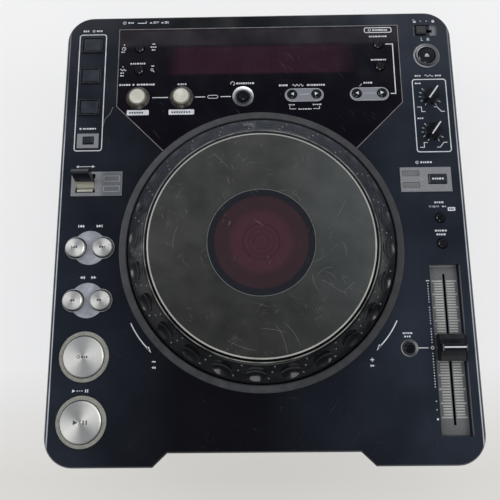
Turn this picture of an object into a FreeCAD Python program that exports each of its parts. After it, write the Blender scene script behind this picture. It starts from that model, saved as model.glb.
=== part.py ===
"""Tabletop DJ disc player: every piece is its own solid in one shared frame.

Frame: +X to the right, +Y to the rear, +Z up, in millimetres. The origin lies on the
table, under the middle of the player's outer box. The control panel's top is the deck.
"""
import FreeCAD, Part
import math
import os

import Sketcher

Vector = FreeCAD.Vector
doc = FreeCAD.newDocument("disc_player")
sheet = doc.addObject("Spreadsheet::Sheet", "sizes")
nodes = {}


# Driving dimensions

SIZES = {
    # outer form
    "deck_width": 320, "deck_front": 185, "deck_rear": 174.3, "deck_height": 88,
    "corner_radius": 21.5, "edge_bevel": 1.2, "panel_depth": 14, "panel_wall": 3,
    "notch_half": 70, "notch_mouth_half": 80.5, "notch_depth": 9.8,
    "case_inset": 1.5, "case_wall": 2.5, "case_bottom": 5,
    "foot_radius": 12, "foot_x": 130, "foot_y": 148, "screw_rise": 1.5,
    # jog wheel
    "jog_y": -23.8, "jog_radius": 103, "bezel_inner": 104.2, "bezel_outer": 110,
    "bezel_rise": 1.2, "plate_radius": 85.2, "plate_top": 105, "rim_radius": 88,
    "window_radius": 40.4, "hub_bore": 26.05, "bearing_radius": 26, "post_radius": 20,
    "dimple_count": 24, "dimple_radius": 20.8, "dimple_depth": 1.5, "dimple_start": 12,
    "jog_base_radius": 112,
    # display window
    "glass_half": 116.5, "glass_rear": 162.7, "glass_side_front": 93.4,
    "glass_foot_half": 76.4, "glass_thick": 1.5, "glass_corner": 3,
    "display_half": 72, "display_front": 121, "display_rear": 146,
    # round caps: radius, hole radius, rise above the deck
    "mini_cap": 3.4, "mini_hole": 4.2, "mini_rise": 1.4,
    "loop_cap": 7.2, "loop_hole": 7.5, "loop_rise": 3.4,
    "dish_cap": 3.4, "dish_hole": 3.8, "dish_rise": 1.8,
    "disc_cap": 7.2, "disc_hole": 8.3, "disc_rise": 3.4,
    "main_cap": 15, "main_hole": 18.6, "main_rise": 2.6,
    "eject_cap": 7, "eject_hole": 7.4, "eject_rise": 1.2,
    "cap_bevel": 0.7, "cap_foot_level": 81,
    "loop_ring": 9.7, "dish_ring": 8.7, "eject_ring": 11, "reset_ring": 6.4,
    "lens_inner": 15.7, "lens_outer": 18.6, "lens_rise": 1.2,
    # pads and square caps
    "pad_x": -138.75, "pad_half_x": 7, "pad_half_y": 5.5, "pad_well_half_x": 7.6,
    "pad_well_half_y": 6.1, "pad_rim_half_x": 8.7, "pad_rim_half_y": 6.85,
    "pad_first_y": 148.6, "pad_pitch": 27.85, "pad_rise": 1.6, "pad_rim_rise": 1.2,
    "rec_x": -138.25, "rec_y": 64.1, "rec_half_x": 3.7, "rec_half_y": 2.6,
    "mode_x": 139.6, "mode_y": 27.9, "mode_half_x": 6.8, "mode_half_y": 3.6,
    "square_gap": 0.5, "square_rise": 1.4, "accent_rise": 0.6,
    # direction lever
    "lever_x": -138.75, "lever_y": 28, "lever_pivot_z": 84, "lever_half": 6.75,
    "lever_hub": 5, "lever_reach": 19, "lever_thick": 4.5, "lever_lean": 20,
    "lever_slot_x0": -146.5, "lever_slot_x1": -131, "lever_slot_y0": 20.5,
    "lever_slot_y1": 35.8, "lever_pin": 1.5,
    # knobs
    "knob_x": 139.5, "touch_knob_y": 98.5, "release_knob_y": 68, "knob_radius": 7.2,
    "knob_base": 2.4, "knob_fin": 7, "knob_fin_half": 1.6, "knob_hole": 3.4,
    "knob_turn": 36,
    # tempo slider
    "fader_x": 139.75, "fader_y": -102.4, "fader_half_x": 11.65, "fader_half_y": 62.5,
    "fader_depth": 4.3, "fader_floor": 2.4, "fader_slot": 0.9, "fader_travel": 50,
    "fader_plate_half": 9.4, "fader_plate_thick": 0.5,
    "fader_cap_half_x": 9, "fader_cap_half_y": 10, "fader_cap_rise": 8.5,
    # lock slide
    "lock_x": 136, "lock_y": 157.5, "lock_half_x": 4, "lock_half_y": 3.6,
    "lock_travel": 5, "lock_rise": 1.6,
    # disc mechanism
    "disc_z": 56, "slot_half": 64, "slot_height": 6, "mech_half": 75, "mech_front": -165,
    "mech_rear": -28, "mech_bottom": 20, "mech_top": 67, "mech_wall": 3,
    "spindle_y": -95, "roller_y": -150, "roller_z": 47.8, "roller_radius": 5.2,
    "shaft_radius": 2, "running_gap": 0.05, "rail_x": 24, "rail_z": 42, "rail_radius": 1.5,
    "gear_module": 1, "roller_teeth": 14, "loading_teeth": 28, "gear_width": 4,
    # back panel
    "back_half": 132, "back_low": 14, "back_high": 68, "back_thick": 1.5,
    "inlet_x": -115, "power_x": -95, "back_row_z": 40, "jack_reach": 185,
}

# Round buttons: name, place on the deck, and the family that gives the cap its sizes
ROUND_BUTTONS = [
    ("time_mode_button", -99, 145, "mini"),
    ("text_mode_button", -99, 125.2, "mini"),
    ("memory_button", 99.5, 145, "mini"),
    ("delete_button", 100, 125.1, "mini"),
    ("wave_back", 27.1, 101.5, "mini"),
    ("wave_forward", 46.8, 101.5, "mini"),
    ("call_back", 79.8, 101.5, "mini"),
    ("call_forward", 100.2, 101.5, "mini"),
    ("tempo_range_button", 139.5, -3.3, "mini"),
    ("master_tempo_button", 139.6, -23.7, "mini"),
    ("tempo_reset_button", 109, -102.3, "dish"),
    ("reloop_button", -13, 100.6, "dish"),
    ("loop_in_button", -99.2, 100.6, "loop"),
    ("loop_out_button", -63.4, 100.6, "loop"),
    ("track_search_back", -143.4, -23.8, "disc"),
    ("track_search_forward", -122.5, -23.8, "disc"),
    ("search_back", -143.4, -64.5, "disc"),
    ("search_forward", -122.5, -64.5, "disc"),
    ("eject_button", 138.8, 134.2, "eject"),
    ("cue_button", -133.1, -106.4, "main"),
    ("play_button", -133, -152.9, "main"),
]

for button, button_x, button_y, _ in ROUND_BUTTONS:
    SIZES[button + "_x"] = button_x
    SIZES[button + "_y"] = button_y

for row, (alias, number) in enumerate(SIZES.items(), start=1):
    sheet.set(f"A{row}", alias)
    sheet.set(f"B{row}", str(number))
    sheet.setAlias(f"B{row}", alias)
doc.recompute()


# Lengths that carry both their value and the sheet expression they are bound to

class Length:
    def __init__(self, value, text):
        self.value = float(value)
        self.text = text

    def __add__(self, other):
        other = as_length(other)
        return Length(self.value + other.value, f"({self.text} + {other.text})")

    def __sub__(self, other):
        other = as_length(other)
        return Length(self.value - other.value, f"({self.text} - {other.text})")

    def __mul__(self, factor):
        factor = as_length(factor)
        return Length(self.value * factor.value, f"({self.text} * {factor.text})")

    def __truediv__(self, factor):
        factor = as_length(factor)
        return Length(self.value / factor.value, f"({self.text} / {factor.text})")

    def __neg__(self):
        return Length(-self.value, f"(0 - {self.text})")


def as_length(thing):
    if isinstance(thing, Length):
        return thing
    return Length(thing, f"({thing})" if thing < 0 else str(thing))


def size(alias):
    return Length(SIZES[alias], "sizes." + alias)


def bind(thing, prop, length):
    length = as_length(length)
    thing.setExpression(prop, length.text)


# Sketch outlines

def bind_point(sketch, line, end, x, y):
    """Hold one end of a sketch line at x, y."""
    for axis, length, root in (("DistanceX", x, -2), ("DistanceY", y, -1)):
        if length is None:
            continue
        if abs(length.value) < 1e-9:
            sketch.addConstraint(Sketcher.Constraint("PointOnObject", line, end, root))
            continue
        rule = Sketcher.Constraint(axis, -1, 1, line, end, length.value)
        number = sketch.addConstraint(rule)
        sketch.setExpression(f"Constraints[{number}]", length.text)


def sign(number):
    return (number > 1e-9) - (number < -1e-9)


def corner_points(corners):
    """The outline's points, each with the rounded corner that starts there, or None."""
    points = []
    for i, corner in enumerate(corners):
        if len(corner) == 2:
            points.append((corner, None))
            continue
        x, y, radius = corner
        ends = []
        for other in (corners[i - 1], corners[(i + 1) % len(corners)]):
            ends.append((x + radius * sign(other[0].value - x.value),
                         y + radius * sign(other[1].value - y.value)))
        points += [(ends[0], corner), (ends[1], None)]
    return points


def corner_arc(start, stop, corner):
    """The arc that rounds a square corner, and whether it runs from start to stop."""
    (x0, y0), (x1, y1) = ((x.value, y.value) for x, y in (start, stop))
    corner_x, corner_y, radius = (v.value for v in corner)
    centre_x, centre_y = x0 + x1 - corner_x, y0 + y1 - corner_y
    first = math.atan2(y0 - centre_y, x0 - centre_x)
    last = math.atan2(y1 - centre_y, x1 - centre_x)
    forward = (corner_x - x0) * (y1 - corner_y) - (corner_y - y0) * (x1 - corner_x) > 0
    if not forward:
        first, last = last, first
    ring = Part.Circle(Vector(centre_x, centre_y, 0), Vector(0, 0, 1), radius)
    return Part.ArcOfCircle(ring, first, last), forward


def polygon(sketch, corners):
    """A closed outline; a corner with a third length is rounded by that radius."""
    points = corner_points([tuple(as_length(v) for v in corner) for corner in corners])
    first = sketch.GeometryCount
    ends = []
    for i, (start, corner) in enumerate(points):
        stop = points[(i + 1) % len(points)][0]
        forward = True
        if corner is None:
            stretch = Part.LineSegment(Vector(start[0].value, start[1].value, 0),
                                       Vector(stop[0].value, stop[1].value, 0))
        else:
            stretch, forward = corner_arc(start, stop, corner)
        sketch.addGeometry(stretch)
        ends.append((1, 2) if forward else (2, 1))
    for i in range(len(points)):
        after = (i + 1) % len(points)
        sketch.addConstraint(Sketcher.Constraint("Coincident", first + i, ends[i][1],
                                                 first + after, ends[after][0]))
    for i, (start, corner) in enumerate(points):
        bind_point(sketch, first + i, ends[i][0], *start)
        if corner is not None:
            number = sketch.addConstraint(Sketcher.Constraint("Radius", first + i,
                                                              corner[2].value))
            sketch.setExpression(f"Constraints[{number}]", corner[2].text)


def rectangle(sketch, x0, x1, y0, y1, radius=None):
    corners = [(x0, y0), (x1, y0), (x1, y1), (x0, y1)]
    if radius is not None:
        corners = [(x, y, radius) for x, y in corners]
    polygon(sketch, corners)


def centred_rectangle(sketch, x, y, half_x, half_y, radius=None):
    x, y = as_length(x), as_length(y)
    rectangle(sketch, x - half_x, x + half_x, y - half_y, y + half_y, radius)


def circle(sketch, x, y, radius):
    """A circle whose centre and radius follow the sheet."""
    x, y, radius = as_length(x), as_length(y), as_length(radius)
    ring = sketch.addGeometry(Part.Circle(Vector(x.value, y.value, 0), Vector(0, 0, 1),
                                          radius.value))
    number = sketch.addConstraint(Sketcher.Constraint("Radius", ring, radius.value))
    sketch.setExpression(f"Constraints[{number}]", radius.text)
    for axis, length, root in (("DistanceX", x, -2), ("DistanceY", y, -1)):
        if abs(length.value) < 1e-9:
            sketch.addConstraint(Sketcher.Constraint("PointOnObject", ring, 3, root))
            continue
        number = sketch.addConstraint(Sketcher.Constraint(axis, -1, 1, ring, 3, length.value))
        sketch.setExpression(f"Constraints[{number}]", length.text)


def stadium(sketch, x0, x1, y, radius):
    """A slot outline: two straight sides and two half-round ends."""
    left, right, y, radius = (as_length(v) for v in (x0, x1, y, radius))
    first = sketch.GeometryCount
    low, high = y.value - radius.value, y.value + radius.value
    lines = [Part.LineSegment(Vector(left.value, low, 0), Vector(right.value, low, 0)),
             Part.LineSegment(Vector(right.value, high, 0), Vector(left.value, high, 0))]
    ends = [(right.value, -math.pi / 2, math.pi / 2), (left.value, math.pi / 2, 3 * math.pi / 2)]
    for line in lines:
        sketch.addGeometry(line)
    for centre, start, stop in ends:
        ring = Part.Circle(Vector(centre, y.value, 0), Vector(0, 0, 1), radius.value)
        sketch.addGeometry(Part.ArcOfCircle(ring, start, stop))
    for line, end, arc, arc_end in ((0, 2, 2, 1), (1, 1, 2, 2), (1, 2, 3, 1), (0, 1, 3, 2)):
        sketch.addConstraint(Sketcher.Constraint("Tangent", first + line, end,
                                                 first + arc, arc_end))
    number = sketch.addConstraint(Sketcher.Constraint("Radius", first + 2, radius.value))
    sketch.setExpression(f"Constraints[{number}]", radius.text)
    for arc, x in ((2, right), (3, left)):
        number = sketch.addConstraint(Sketcher.Constraint("DistanceX", -1, 1, first + arc, 3,
                                                          x.value))
        sketch.setExpression(f"Constraints[{number}]", x.text)
    number = sketch.addConstraint(Sketcher.Constraint("DistanceY", -1, 1, first + 2, 3, y.value))
    sketch.setExpression(f"Constraints[{number}]", y.text)


# Bodies and features

def new_body(name):
    return doc.addObject("PartDesign::Body", name)


def sketch_on(body, role, offset=None):
    """A sketch on one of the body's own origin planes, lifted along its normal."""
    sketch = body.newObject("Sketcher::SketchObject", body.Name + "_outline")
    plane = next(f for f in body.Origin.OriginFeatures if f.Role == role)
    sketch.AttachmentSupport = [(plane, "")]
    sketch.MapMode = "FlatFace"
    if offset is not None:
        bind(sketch, "AttachmentOffset.Base.z", offset)
    return sketch


def pad(body, level, height, draw):
    """Material from a level up, in the outline that draw makes."""
    sketch = sketch_on(body, "XY_Plane", level)
    draw(sketch)
    feature = body.newObject("PartDesign::Pad", body.Name + "_pad")
    feature.Profile = sketch
    bind(feature, "Length", height)
    doc.recompute()
    return feature


def pocket(body, level, depth, draw, upward=False):
    """A cut from a level down, or up, that is checked to take material away."""
    before = body.Shape.Volume
    sketch = sketch_on(body, "XY_Plane", level)
    draw(sketch)
    feature = body.newObject("PartDesign::Pocket", body.Name + "_pocket")
    feature.Profile = sketch
    feature.Reversed = upward
    bind(feature, "Length", depth)
    doc.recompute()
    if not body.Shape.Volume < before - 0.01:
        raise ValueError(f"{body.Name}: a pocket at {as_length(level).value} cut nothing")
    return feature


def revolve(name, profile, x=0, y=0):
    """A turned solid from a profile of radius and height pairs."""
    body = new_body(name)
    sketch = sketch_on(body, "XZ_Plane")
    polygon(sketch, profile)
    feature = body.newObject("PartDesign::Revolution", name + "_turn")
    feature.Profile = sketch
    feature.ReferenceAxis = (sketch, ["V_Axis"])
    feature.Angle = 360
    bind(body, "Placement.Base.x", x)
    bind(body, "Placement.Base.y", y)
    doc.recompute()
    return body


def dress_edges(body, kind, amount, wanted):
    """Fillet or chamfer the edges of the body's tip that the test picks."""
    base = body.Tip
    names = [f"Edge{i}" for i, edge in enumerate(base.Shape.Edges, start=1) if wanted(edge)]
    if not names:
        raise ValueError(f"{body.Name}: no edge to dress")
    feature = body.newObject("PartDesign::" + kind, body.Name + "_" + kind.lower())
    feature.Base = (base, names)
    bind(feature, "Radius" if kind == "Fillet" else "Size", amount)
    doc.recompute()
    return feature


def is_upright(edge):
    along = edge.Vertexes[0].Point.sub(edge.Vertexes[-1].Point)
    return len(edge.Vertexes) == 2 and math.hypot(along.x, along.y) < 1e-6


def box(name, x0, x1, y0, y1, z0, z1):
    x0, x1, y0, y1, z0, z1 = (as_length(v) for v in (x0, x1, y0, y1, z0, z1))
    piece = doc.addObject("Part::Box", name)
    for prop, span in (("Length", x1 - x0), ("Width", y1 - y0), ("Height", z1 - z0)):
        bind(piece, prop, span)
    for axis, start in (("x", x0), ("y", y0), ("z", z0)):
        bind(piece, "Placement.Base." + axis, start)
    return piece


def centred_box(name, x, y, half_x, half_y, z0, z1):
    x, y = as_length(x), as_length(y)
    return box(name, x - half_x, x + half_x, y - half_y, y + half_y, z0, z1)


def cylinder(name, x, y, z, radius, height, axis="z"):
    piece = doc.addObject("Part::Cylinder", name)
    bind(piece, "Radius", radius)
    bind(piece, "Height", height)
    turn = {"z": (0, 0, 0), "x": (0, 90, 0), "y": (0, 0, -90)}[axis]
    piece.Placement.Rotation = FreeCAD.Rotation(*turn)
    for direction, start in (("x", x), ("y", y), ("z", z)):
        bind(piece, "Placement.Base." + direction, start)
    return piece


def cone(name, x, y, z, low_radius, high_radius, height):
    piece = doc.addObject("Part::Cone", name)
    bind(piece, "Radius1", low_radius)
    bind(piece, "Radius2", high_radius)
    bind(piece, "Height", height)
    for direction, start in (("x", x), ("y", y), ("z", z)):
        bind(piece, "Placement.Base." + direction, start)
    return piece


def fuse(name, pieces):
    joined = doc.addObject("Part::MultiFuse", name)
    joined.Shapes = pieces
    joined.Refine = True
    return joined


def cut(name, base, tool):
    left = doc.addObject("Part::Cut", name)
    left.Base = base
    left.Tool = tool
    left.Refine = True
    return left


def group(name, pieces):
    gathered = doc.addObject("Part::Compound", name)
    gathered.Links = pieces
    return gathered


def node(name, piece):
    """Keep a piece as a finished sub-part under its own name."""
    piece.Label = name
    nodes[name] = piece
    return piece


# Shared levels and outlines

deck = size("deck_height")
skin_low = deck - size("panel_wall")
panel_low = deck - size("panel_depth")
jog_y = size("jog_y")
floor_top = size("case_bottom") + size("case_wall")


def deck_outline(sketch, inset):
    """The player's plan: a rectangle with a shallow notch in its front edge."""
    side = size("deck_width") / 2 - inset
    front = -size("deck_front") + inset
    rear = size("deck_rear") - inset
    notch = -size("deck_front") + size("notch_depth") + inset
    inner = size("notch_half") + inset
    mouth = size("notch_mouth_half") + inset
    radius = size("corner_radius") - inset
    polygon(sketch, [(-side, front, radius), (-mouth, front), (-inner, notch),
                     (inner, notch), (mouth, front), (side, front, radius),
                     (side, rear, radius), (-side, rear, radius)])


def glass_outline(sketch, gap):
    """The window's plan: straight sides, two diagonals and an arc round the jog bezel."""
    side, rear = size("glass_half") - gap, size("glass_rear") - gap
    bend, foot = size("glass_side_front") + gap, size("glass_foot_half") - gap
    radius = size("bezel_outer") + gap
    foot_y = jog_y.value + math.sqrt(radius.value ** 2 - foot.value ** 2)
    points = [(foot.value, foot_y), (side.value, bend.value), (side.value, rear.value),
              (-side.value, rear.value), (-side.value, bend.value), (-foot.value, foot_y)]
    first = sketch.GeometryCount
    for start, stop in zip(points, points[1:]):
        sketch.addGeometry(Part.LineSegment(Vector(*start, 0), Vector(*stop, 0)))
    ring = Part.Circle(Vector(0, jog_y.value, 0), Vector(0, 0, 1), radius.value)
    half_angle = math.asin(foot.value / radius.value)
    arc = sketch.addGeometry(Part.ArcOfCircle(ring, math.pi / 2 - half_angle,
                                              math.pi / 2 + half_angle))
    for i in range(4):
        sketch.addConstraint(Sketcher.Constraint("Coincident", first + i, 2, first + i + 1, 1))
    sketch.addConstraint(Sketcher.Constraint("Coincident", arc, 1, first, 1))
    sketch.addConstraint(Sketcher.Constraint("Coincident", arc, 2, first + 4, 2))
    sketch.addConstraint(Sketcher.Constraint("PointOnObject", arc, 3, -2))
    number = sketch.addConstraint(Sketcher.Constraint("DistanceY", -1, 1, arc, 3, jog_y.value))
    sketch.setExpression(f"Constraints[{number}]", jog_y.text)
    number = sketch.addConstraint(Sketcher.Constraint("Radius", arc, radius.value))
    sketch.setExpression(f"Constraints[{number}]", radius.text)
    bind_point(sketch, first, 1, foot, None)
    for line, x, y in ((1, side, bend), (2, side, rear), (3, -side, rear), (4, -side, bend)):
        bind_point(sketch, first + line, 1, x, y)
    number = sketch.addConstraint(Sketcher.Constraint("DistanceX", -1, 1, first + 4, 2,
                                                      -foot.value))
    sketch.setExpression(f"Constraints[{number}]", (-foot).text)


def in_glass(button_y):
    return button_y > SIZES["glass_side_front"]


def button_holes(sketch, buttons):
    for name, _, _, family in buttons:
        circle(sketch, size(name + "_x"), size(name + "_y"), size(family + "_hole"))


GLASS_BUTTONS = [b for b in ROUND_BUTTONS if in_glass(b[2]) and abs(b[1]) < SIZES["glass_half"]]


# Housing

def make_top_panel():
    """Moulded control panel: a bevelled shell with every well and recess in it."""
    body = new_body("top_panel")
    pad(body, panel_low, size("panel_depth"), lambda s: deck_outline(s, 0))
    dress_edges(body, "Chamfer", size("edge_bevel"),
                lambda edge: min(v.Z for v in edge.Vertexes) > deck.value - 0.01)
    pocket(body, panel_low, size("panel_depth") - size("panel_wall"),
           lambda s: deck_outline(s, size("panel_wall")), upward=True)

    fader = (size("fader_x"), size("fader_y"), size("fader_half_x"), size("fader_half_y"))
    fader_low = deck - size("fader_depth") - size("fader_floor")
    pad(body, fader_low, skin_low - fader_low,
        lambda s: centred_rectangle(s, fader[0], fader[1], fader[2] + 2, fader[3] + 2))
    pocket(body, deck, size("fader_depth"), lambda s: centred_rectangle(s, *fader))
    pocket(body, deck, size("panel_depth") - 2, lambda s: centred_rectangle(
        s, fader[0], fader[1], size("fader_slot") + 0.4, size("fader_travel") + 5.5))

    pocket(body, deck, size("glass_thick"), lambda s: glass_outline(s, 0))
    dress_edges(body, "Fillet", size("glass_corner"), lambda edge: is_upright(edge)
                and abs(edge.Vertexes[0].Y - SIZES["glass_rear"]) < 0.01)
    pocket(body, deck, 1.2, lambda s: rectangle(s, 129.5, 149, 152.5, 162.5))
    pocket(body, deck, size("panel_wall"), panel_openings)
    return node("top_panel", body)


def panel_openings(sketch):
    """Every hole that goes right through the panel's skin."""
    circle(sketch, 0, jog_y, size("bezel_inner") + 3)
    button_holes(sketch, ROUND_BUTTONS)
    for knob in ("touch_knob_y", "release_knob_y"):
        circle(sketch, size("knob_x"), size(knob), size("knob_hole"))
    for i in range(3):
        centred_rectangle(sketch, size("pad_x"), size("pad_first_y") - size("pad_pitch") * i,
                          size("pad_well_half_x"), size("pad_well_half_y"))
    gap = size("square_gap")
    for name in ("rec", "mode"):
        centred_rectangle(sketch, size(name + "_x"), size(name + "_y"),
                          size(name + "_half_x") + gap, size(name + "_half_y") + gap)
    rectangle(sketch, size("lever_slot_x0"), size("lever_slot_x1"),
              size("lever_slot_y0"), size("lever_slot_y1"))
    rectangle(sketch, size("lock_x") - 4.5, size("lock_x") + size("lock_travel") + 4.5,
              size("lock_y") - 1.5, size("lock_y") + 1.5)
    rectangle(sketch, -size("display_half"), size("display_half"),
              size("display_front"), size("display_rear"))


def make_display_window():
    body = new_body("display_window")
    gap = 0.1
    pad(body, deck - size("glass_thick"), size("glass_thick"),
        lambda s: glass_outline(s, gap))
    dress_edges(body, "Fillet", size("glass_corner"), lambda edge: is_upright(edge)
                and abs(edge.Vertexes[0].Y - SIZES["glass_rear"] + gap) < 0.01)
    pocket(body, deck, size("glass_thick"), lambda s: button_holes(s, GLASS_BUTTONS))
    return node("display_window", body)


def make_jog_bezel():
    """Matt ring round the wheel, with a collar that drops into the panel."""
    inner, outer = size("bezel_inner"), size("bezel_outer")
    top = deck + size("bezel_rise")
    collar = inner + 2.9
    return node("jog_bezel", revolve("jog_bezel", [
        (inner, deck - 5), (collar, deck - 5), (collar, deck), (outer, deck),
        (outer, deck + 0.6), (outer - 0.8, top), (inner + 0.6, top), (inner, top - 0.6),
    ], 0, jog_y))


def make_lower_case():
    """Bottom tray: floor, walls, posts for the boards, and the front and back openings."""
    inset = size("case_inset")
    wall = size("case_wall")
    bottom = size("case_bottom")
    body = new_body("lower_case")
    pad(body, bottom, panel_low - bottom, lambda s: deck_outline(s, inset))
    pocket(body, panel_low, panel_low - floor_top, lambda s: deck_outline(s, inset + wall))
    front_hole = box("front_hole", -size("slot_half") - 1, size("slot_half") + 1, -185, -165,
                     size("disc_z") - 6, size("disc_z") + 6)
    back_hole = box("back_hole", -size("back_half") + 4, size("back_half") - 4, 160, 180,
                    size("back_low") + 4, size("back_high") - 4)
    posts = [centred_box(f"post_{i}", x, y, 3.5, 3.5, floor_top - 0.5, floor_top + rise)
             for i, (x, y, rise) in enumerate(BOARD_POSTS)]
    tray = cut("lower_tray", body, fuse("tray_holes", [front_hole, back_hole]))
    return node("lower_case", fuse("lower_case_whole", [tray] + posts))


SCREW_PLACES = [(x, y) for x in (-150, 150) for y in (-110, 20, 120)]
BOARD_POSTS = [(x, y, 6.5) for x in (-142, -88) for y in (70, 150)]
BOARD_POSTS += [(x, y, 6.5) for x in (-48, 128) for y in (15, 150)]
BOARD_POSTS += [(x, y, 12.5) for x in (-66, 66) for y in (-155, -38)]


def make_front_panel():
    """Face plate of the notch, with the disc slot and the pin hole for a stuck disc."""
    z = size("disc_z")
    face = -size("deck_front") + size("notch_depth")
    plate = box("front_plate", -67, 67, face, face + size("case_inset"), z - 22, z + 16)
    slot = box("slot_cut", -size("slot_half"), size("slot_half"), -177, -172,
               z - size("slot_height") / 2, z + size("slot_height") / 2)
    pin_hole = cylinder("pin_hole", 52, -177, z - 14, 0.9, 6, "y")
    return node("front_panel", cut("front_panel_cut", plate, fuse("front_cuts",
                                                                 [slot, pin_hole])))


def make_rear_panel():
    half, low, high = size("back_half"), size("back_low"), size("back_high")
    wall_y = size("deck_rear") - size("case_inset")
    row = size("back_row_z")
    plate = box("back_plate", -half, half, wall_y, wall_y + size("back_thick"), low, high)
    holes = [box(f"jack_hole_{i}", x - 5.1, x + 5.1, wall_y - 1, wall_y + 3, z - 5.1, z + 5.1)
             for i, (x, z) in enumerate(JACK_PLACES)]
    holes.append(cylinder("control_hole", 0, wall_y - 1, row, 3.3, 4, "y"))
    holes.append(box("inlet_hole", size("inlet_x") - 12, size("inlet_x") + 12,
                     wall_y - 1, wall_y + 3, row - 9, row + 9))
    holes.append(box("power_hole", size("power_x") - 6.2, size("power_x") + 6.2,
                     wall_y - 1, wall_y + 3, row - 6.2, row + 6.2))
    return node("rear_panel", cut("rear_panel_cut", plate, fuse("back_holes", holes)))


JACK_PLACES = [(92, 48), (92, 32), (50, 40)]


def make_feet():
    feet = []
    for i, (sx, sy) in enumerate(((-1, -1), (1, -1), (1, 1), (-1, 1))):
        x, y = size("foot_x") * sx, size("foot_y") * sy
        feet.append(cone(f"foot_{i}", x, y, 0, size("foot_radius") - 1, size("foot_radius"),
                         size("case_bottom")))
    return node("feet", group("feet_group", feet))


def make_case_screws():
    """Low hexagonal heads under the case floor."""
    screws = []
    for i, (x, y) in enumerate(SCREW_PLACES):
        head = doc.addObject("Part::Prism", f"screw_head_{i}")
        head.Polygon = 6
        bind(head, "Circumradius", 3.4)
        bind(head, "Height", size("screw_rise"))
        for axis, start in (("x", x), ("y", y), ("z", size("case_bottom") - size("screw_rise"))):
            bind(head, "Placement.Base." + axis, start)
        screws.append(head)
    return node("case_screws", group("case_screws_group", screws))


# Jog wheel

def make_jog_base():
    """Fixed dish under the wheel with the hollow post that carries the bearing."""
    outer = size("jog_base_radius")
    post = size("post_radius")
    return node("jog_base", revolve("jog_base", [
        (14, 75.5), (outer, 75.5), (outer, skin_low), (outer - 3, skin_low),
        (outer - 3, 78.5), (post, 78.5), (post, 99.2), (14, 99.2),
    ], 0, jog_y))


def make_jog_bearing():
    post = size("post_radius")
    outer = size("bearing_radius")
    return node("jog_bearing", revolve("jog_bearing", [
        (post, 78.5), (outer, 78.5), (outer, 92), (post, 92)], 0, jog_y))


def make_jog_wheel():
    """Wheel: a sloped rim with finger dimples, a flat web and a hub round the bearing."""
    radius, rim = size("jog_radius"), size("rim_radius")
    inner = size("plate_radius") + 0.4
    bore = size("hub_bore")
    body = revolve("jog_wheel", [
        (bore, 82.3), (bore + 5, 82.3), (bore + 5, 95.8), (rim + 2, 95.8),
        (radius - 3, 87.5), (radius - 3, 80), (radius, 80), (radius, 89.8),
        (radius - 1.2, 91.6), (rim + 1.2, 103.2), (rim, 104.6), (inner, 104.6),
        (inner, 98.4), (bore, 98.4)], 0, jog_y)
    slope = Vector(rim.value + 1.2 - radius.value + 1.2, 0, 103.2 - 91.6)
    outward = Vector(slope.z, 0, -slope.x).normalize()
    middle = Vector((radius.value + rim.value) / 2, 0, (103.2 + 91.6) / 2)
    centre = middle + outward * (SIZES["dimple_radius"] - SIZES["dimple_depth"])
    before = body.Shape.Volume
    dimple = body.newObject("PartDesign::SubtractiveSphere", "finger_dimple")
    bind(dimple, "Radius", size("dimple_radius"))
    start = math.radians(SIZES["dimple_start"])
    dimple.Placement.Base = Vector(centre.x * math.cos(start), centre.x * math.sin(start),
                                   centre.z)
    doc.recompute()
    pattern = body.newObject("PartDesign::PolarPattern", "dimple_ring")
    pattern.Originals = [dimple]
    axis = next(f for f in body.Origin.OriginFeatures if f.Role == "Z_Axis")
    pattern.Axis = (axis, [""])
    pattern.Angle = 360
    bind(pattern, "Occurrences", size("dimple_count"))
    body.Tip = pattern
    doc.recompute()
    print("dimples took", round(before - body.Shape.Volume, 1), "mm3 from the wheel")
    return node("jog_wheel", body)


def make_jog_plate():
    """Touch plate: a flat ring with a bevelled edge and a rebate for the window."""
    radius, top, hole = size("plate_radius"), size("plate_top"), size("window_radius") + 0.15
    return node("jog_plate", revolve("jog_plate", [
        (hole - 2, top - 2), (radius, top - 2), (radius, top - 0.4), (radius - 0.4, top), (hole, top),
        (hole, top - 1.2), (hole - 2, top - 1.2)], 0, jog_y))


def make_jog_window():
    radius, top = size("window_radius"), size("plate_top")
    disc = cylinder("window_disc", 0, jog_y, top - 1.2, radius, 1.2)
    return node("jog_window", disc)


def make_jog_display():
    top = size("plate_top") - 3.1
    glass = cylinder("round_display", 0, jog_y, top - 2.7, 37, 2.7)
    return node("jog_display", glass)


# Buttons

def make_round_button(name, family):
    """A turned cap with a bevelled top on a square guide under the panel's skin."""
    x, y = size(name + "_x"), size(name + "_y")
    radius, bevel = size(family + "_cap"), size("cap_bevel")
    foot = size("cap_foot_level")
    top = deck + size(family + "_rise")
    skirt = cylinder(name + "_skirt", x, y, foot + 1.5, radius, top - bevel - foot - 1.5)
    crown = cone(name + "_crown", x, y, top - bevel, radius, radius - bevel, bevel)
    half = size(family + "_hole") + (0.6 if family != "main" else -3.4)
    guide = centred_box(name + "_guide", x, y, half, half, foot, foot + 1.5)
    return node(name, fuse(name + "_cap", [skirt, crown, guide]))


def make_square_button(name, x, y, half_x, half_y, rise):
    """A rectangular cap with a bevelled top and a wider foot."""
    foot = size("cap_foot_level")
    body = new_body(name)
    pad(body, foot, deck + rise - foot, lambda s: centred_rectangle(s, x, y, half_x, half_y))
    dress_edges(body, "Chamfer", 0.6,
                lambda edge: min(v.Z for v in edge.Vertexes) > (deck + rise).value - 0.01)
    pad(body, foot, 1.5, lambda s: centred_rectangle(s, x, y, half_x + 1.2, half_y + 1.2))
    return node(name, body)


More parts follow.
